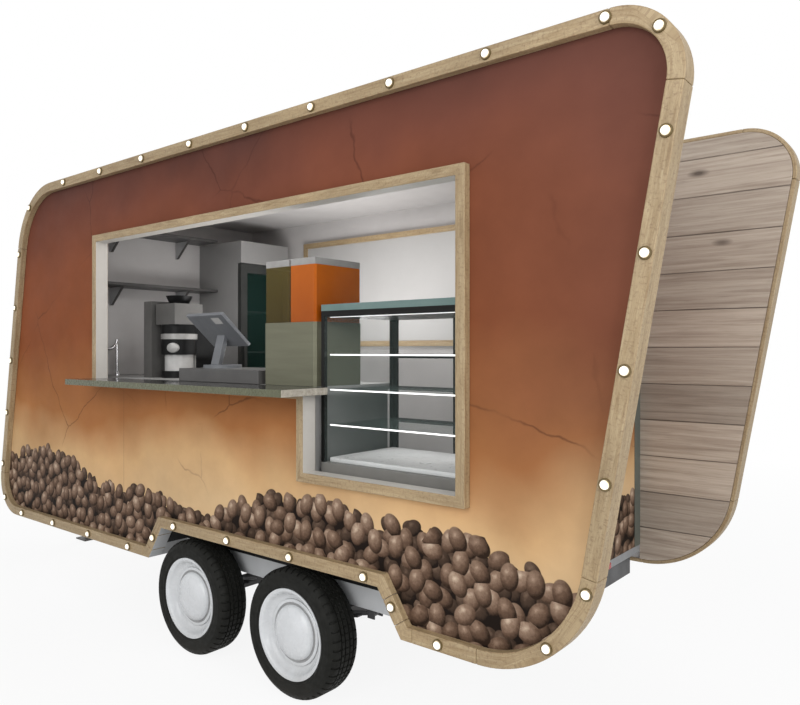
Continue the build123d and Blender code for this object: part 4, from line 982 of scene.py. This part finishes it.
for x in (case_low.x + BAR_HALF + BAR_GAP, case_middle.x, case_high.x - BAR_HALF - BAR_GAP):
    bar = add_block("back_bar", (x - BAR_HALF, case_high.y - 0.02, deck - 0.002),
                    (x + BAR_HALF, case_high.y - BAR_GAP, case_high.z - 0.058), frame_black)
    sink_faces(bar, lambda f: abs(f.normal.y) > 0.9 and f.area > 0.01, 0.004, -0.001)
    back_bars.append(bar)
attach(join_all(back_bars, "case_back_bars"), "trailer")
print("display case:", len(STRIP_LEVELS), "strips over a deck at", round(deck, 3))

# %% [markdown]
# Glass is clear when looked through and bright at a glancing angle. A Principled shader with a low alpha,
# raised by the facing of the surface, gives both, and it survives the export.

# %% Glass
def glass(name, tint, clear, edge):
    finish, shader = start_finish(name, 0.08)
    smear = cloud(lay(finish), 3, 4)
    tone = colours(smear, [(0.3, tint), (0.7, tuple(min(1, c * 1.2) for c in tint))])
    set_looks(shader, tone, spread(smear, 0.02, 0.09))
    facing = first_node(finish, "LayerWeight")
    facing.inputs["Blend"].default_value = 0.35
    join_to(spread(facing.outputs["Facing"], clear, edge, 0, 1), shader.inputs["Alpha"])
    return finish


dress(glass("case_glass", (0.22, 0.29, 0.27), 0.01, 0.16), "display_glass")
dress(glass("fridge_glass", (0.012, 0.032, 0.026), 0.45, 0.6), "fridge_pane")

# %% [markdown]
# The drinks dispenser has a brushed steel base with bright taps, and two tinted tanks, olive and orange,
# with frosted lids. A drink is paler towards the top of its tank.

# %% Drinks dispenser
LID_HEIGHT = 0.036


def drink(name, deep, pale, clear):
    finish, shader = start_finish(name, 0.2)
    place = lay(finish)
    settle = plus(spread(split(place)["Z"], 0, 0.8, 1.82, 2.1), spread(cloud(place, 9), -0.1, 0.2))
    tone = colours(settle, [(0, deep), (0.9, pale)])
    set_looks(shader, tone, spread(cloud(place, 30), 0.05, 0.16))
    shader.inputs["Alpha"].default_value = clear
    return finish


brushed_steel = coated("brushed_steel", (0.125, 0.123, 0.08), (0.16, 0.157, 0.105), 0.3, (0.3, 0.4),
                       0.003, 0.05, 0.25, (1, 1, 12))
olive_drink = drink("olive_drink", (0.062, 0.04, 0.004), (0.095, 0.068, 0.01), 0.74)
orange_drink = drink("orange_drink", (0.36, 0.075, 0.004), (0.5, 0.115, 0.006), 0.88)
frosted_lid = coated("frosted_lid", (0.27, 0.26, 0.25), (0.34, 0.33, 0.32), 0.05, (0.4, 0.6), 0.002, 0.1)
tank_low, tank_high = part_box("drinks_tanks")
tank_middle = (tank_low.x + tank_high.x) / 2
dispenser = ease("drinks_dispenser", "dispenser_base", brushed_steel, 0.003)
paint(dispenser, bright_steel, lambda f: f.center.y > tank_high.y + 0.006)
drink_tanks = ease("drinks_tanks", "dispenser_tanks", olive_drink, 0.003)
paint(drink_tanks, orange_drink, lambda f: f.center.x > tank_middle)
paint(drink_tanks, frosted_lid, lambda f: f.center.z > tank_high.z - LID_HEIGHT)

# %% [markdown]
# The sales terminal is a grey screen on a leaning neck over a darker cash drawer. The glass of the screen
# is the face that looks up and to the aisle. It is inset for a bezel, sunk a little and made dark. The
# drawer's front is inset too, and a small blank label sits on the back of the screen.

# %% Sales terminal
SCREEN_TILT = radians(42)
DRAWER_TOP = 1.579
screen_way = Vector((0, sin(SCREEN_TILT), cos(SCREEN_TILT)))
terminal_shell = coated("terminal_shell", (0.125, 0.13, 0.14), (0.165, 0.17, 0.18), 0.15, (0.35, 0.5),
                        0.002, 0.12)
screen_black = coated("screen_black", (0.008, 0.009, 0.01), (0.016, 0.018, 0.02), 0.2, (0.04, 0.12),
                      0.01, 0.02)
drawer_grey = coated("drawer_grey", (0.075, 0.072, 0.07), (0.11, 0.105, 0.1), 0.2, (0.4, 0.55), 0.002, 0.1)
jug_white = coated("jug_white", (0.4, 0.39, 0.38), (0.5, 0.49, 0.47), 0.05, (0.1, 0.2), 0.003, 0.02)


def is_screen(face):
    return face.normal.dot(screen_way) > 0.97 and face.area > 0.03


terminal = ease("sales_terminal", "sales_terminal_shell", terminal_shell, 0.004, 3)
sink_faces(terminal, is_screen, 0.014, -0.002)
paint(terminal, screen_black, lambda f: f.select and is_screen(f))
paint(terminal, drawer_grey, lambda f: f.center.z < DRAWER_TOP)
sink_faces(terminal, lambda f: f.normal.y > 0.95 and f.area > 0.03 and f.center.z < 1.6, 0.006, -0.003)
backs = [f for f in terminal.data.polygons if f.normal.dot(screen_way) < -0.97]
screen_back = max(backs, key=lambda f: f.area)
label = add_block("terminal_label", (-0.035, -0.024, -0.0006), (0.035, 0.024, 0.0006), jug_white, 0.0004, 1)
label_turn = screen_back.normal.to_track_quat("Z", "Y").to_matrix().to_4x4()
label_place = Matrix.Translation(screen_back.center) @ label_turn
label.data.transform(label_place @ Matrix.Translation((0.05, 0.07, 0.0004)))
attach(label, "trailer")

# %% [markdown]
# The coffee machine is a grey tower beside a column of drums: a black base, a white jug, a black brew
# head with a plain egg-shaped plate, a bright ring, an upper drum, a grey square head and a hopper. The
# eased copy of the solid has all of them, so its faces take their finish by height. The plate is spun.

# %% Coffee machine
TOWER_WIDTH = 0.0905
DRUM_RADIUS, DRUM_X, DRUM_Y = 0.112, 0.215, 0.125
PLATE_HEIGHT, PLATE_TURN = 0.195, radians(35)
DRUM_FINISHES = ((0.0455, 1), (0.15, 2), (0.25, 1), (0.2855, 3), (0.3455, 1), (0.4805, 0), (0.6, 1))
machine_grey = coated("machine_grey", (0.07, 0.067, 0.063), (0.1, 0.096, 0.091), 0.15, (0.4, 0.55),
                      0.002, 0.1)
machine_black = coated("machine_black", (0.004, 0.004, 0.004), (0.009, 0.009, 0.009), 0.2, (0.3, 0.45),
                       0.002, 0.04, shine=0.1)
machine_steel = coated("machine_steel", (0.22, 0.215, 0.205), (0.3, 0.29, 0.28), 0.04, (0.3, 0.45),
                       0.002, 0.05, 0.3)
machine_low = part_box("coffee_machine")[0]
machine = ease("coffee_machine", "coffee_machine_body", machine_grey, 0.003)
for finish in (machine_black, jug_white, machine_steel):
    machine.data.materials.append(finish)
for face in machine.data.polygons:
    if face.center.x >= machine_low.x + TOWER_WIDTH:
        rise = face.center.z - machine_low.z
        face.material_index = [slot for top, slot in DRUM_FINISHES if rise <= top][0]
plate_section = [(0, -10), (20, -9), (34, -6), (38, 4), (0, 4)]
plate = lathe("machine_egg_plate", plate_section, 28, machine_steel)
edit_all(plate)
bpy.ops.transform.resize(value=(1.1, 1, 0.9), center_override=(0, 0, 0))
end_edit()
drum = Matrix.Translation((machine_low.x + DRUM_X, machine_low.y + DRUM_Y, machine_low.z + PLATE_HEIGHT))
plate_place = drum @ Matrix.Rotation(PLATE_TURN, 4, "Z")
plate.data.transform(plate_place @ Matrix.Translation((0, -DRUM_RADIUS + 0.002, 0)))
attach(plate, "trailer")

# %% [markdown]
# The fridge is a white cabinet with a white header and a dim green lining, in a dark door frame with
# green-tinted glass. The fronts of its shelves stay white, as wire shelves show as pale edges.

# %% Fridge
FRIDGE_SKIN, DOOR_DEPTH = 0.03, 0.046
LINING_Z = (0.69, 2.33)
fridge_white = coated("fridge_white", (0.26, 0.255, 0.25), (0.3, 0.295, 0.29), 0.3, (0.3, 0.45),
                      0.003, 0.05)
fridge_dark = coated("fridge_dark", (0.02, 0.022, 0.02), (0.04, 0.042, 0.04), 0.2, (0.3, 0.45), 0.003, 0.06)
fridge_lining = coated("fridge_lining", (0.03, 0.055, 0.045), (0.05, 0.08, 0.068), 0.3, (0.3, 0.45))
fridge_low, fridge_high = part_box("fridge")


def is_lining(face):
    x, y, z = face.center
    sunk = fridge_low.x + FRIDGE_SKIN < x < fridge_high.x - DOOR_DEPTH
    between_walls = fridge_low.y + FRIDGE_SKIN < y < fridge_high.y - FRIDGE_SKIN
    shelf_edge = face.normal.x > 0.9 and x > fridge_low.x + 0.1
    return sunk and between_walls and LINING_Z[0] < z < LINING_Z[1] and not shelf_edge


fridge = ease("fridge", "fridge_cabinet", fridge_white, 0.0015)
paint(fridge, fridge_lining, is_lining)
ease("fridge_door", "fridge_door_frame", fridge_dark)

# %% [markdown]
# The board on the far wall is blank white in a narrow timber frame. Shelves on the front wall are dark
# grey sheet on gusset brackets. The flat sides of the brackets are pale, and larger than the shelf ends.

# %% Board and shelves
FRAME_WIDTH = 0.041
board_white = coated("board_white", (0.39, 0.38, 0.37), (0.43, 0.42, 0.41), 0.4, (0.3, 0.45), 0.003, 0.03)
shelf_grey = coated("shelf_grey", (0.05, 0.048, 0.047), (0.085, 0.08, 0.078), 0.2, (0.35, 0.5), 0.003, 0.06)
board_low, board_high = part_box("menu_board")


def is_blank(face):
    inner = board_low.x + FRAME_WIDTH < face.center.x < board_high.x - FRAME_WIDTH
    return inner and face.normal.y < -0.9 and face.center.y > board_low.y + 0.006


board = ease("menu_board", "blank_board", oak)
lay_grain(board, [(board_low.x, board_low.z), (board_high.x, board_low.z),
                  (board_high.x, board_high.z), (board_low.x, board_high.z)])
paint(board, board_white, is_blank)
shelves = ease("wall_shelves", "wall_shelf_boards", shelf_grey)
paint(shelves, pale_steel, lambda f: abs(f.normal.y) > 0.9 and f.area > 0.008)

# %% [markdown]
# The swan-neck tap is a tube: a circle is extruded upwards, spun half round for the bend and extruded
# down for the spout, and both ends are closed. Its foot is a spun collar.

# %% Tap
TAP_TUBE, TAP_BEND, TAP_SPOUT, TAP_FOOT = 0.011, 0.07, 0.06, 0.028
tap_low, tap_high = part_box("tap")
tap_x = (tap_low.x + tap_high.x) / 2
tap_y = tap_high.y - 0.022
foot_z = tap_low.z + TAP_FOOT
bend_z = tap_high.z - TAP_BEND - TAP_TUBE
chrome = coated("chrome", (0.72, 0.72, 0.73), (0.82, 0.82, 0.83), 0.05, (0.05, 0.12), 0.002, 0.02, 1)
bpy.ops.mesh.primitive_circle_add(vertices=20, radius=TAP_TUBE, location=(tap_x, tap_y, foot_z))
tap = name_active("swan_neck_tap")
bpy.ops.object.transform_apply(location=True, rotation=True, scale=True)
edit_all(tap)
extrude((0, 0, bend_z - foot_z))
bpy.ops.mesh.spin(steps=20, angle=pi, center=(tap_x, tap_y - TAP_BEND, bend_z), axis=(1, 0, 0))
extrude((0, 0, -TAP_SPOUT))
bpy.ops.mesh.edge_face_add()
bpy.ops.mesh.select_all(action="SELECT")
bpy.ops.mesh.remove_doubles(threshold=0.00005)
bpy.ops.mesh.select_all(action="DESELECT")
bpy.ops.mesh.select_non_manifold()
bpy.ops.mesh.edge_face_add()
bpy.ops.mesh.select_all(action="SELECT")
bpy.ops.mesh.normals_make_consistent(inside=False)
end_edit(40)
tap.data.materials.append(chrome)
collar_section = [(0, 30), (11, 30), (16, 26), (20, 10), (22, 0), (0, 0)]
collar = lathe("tap_collar", collar_section, 24, chrome, upright=True)
collar.data.transform(Matrix.Translation((tap_x, tap_y, tap_low.z)))
tap = join_all([tap, collar], "swan_neck_tap")
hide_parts("tap")
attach(tap, "trailer")
print("tap from", [round(v, 3) for v in tap_low], "to", [round(v, 3) for v in tap_high])

# %% [markdown]
# The tail lamps are red lenses with fine ribs, low on the rear edge of the floor.

# %% Tail lamps
def ribbed_lens():
    finish, shader = start_finish("ribbed_lens")
    place = lay(finish)
    ribs = add_node("TexWave", {"Vector": place, "Scale": 55}, bands_direction="Y").outputs["Fac"]
    red = colours(cloud(place, 30), [(0.3, (0.3, 0.008, 0.008)), (0.7, (0.42, 0.014, 0.012))])
    set_looks(shader, red, spread(ribs, 0.1, 0.22, 0, 1))
    emboss(shader, ribs, 0.5, 0.001)
    return finish


ease("tail_lamps", "tail_lamp_lenses", ribbed_lens(), 0.004, 3)
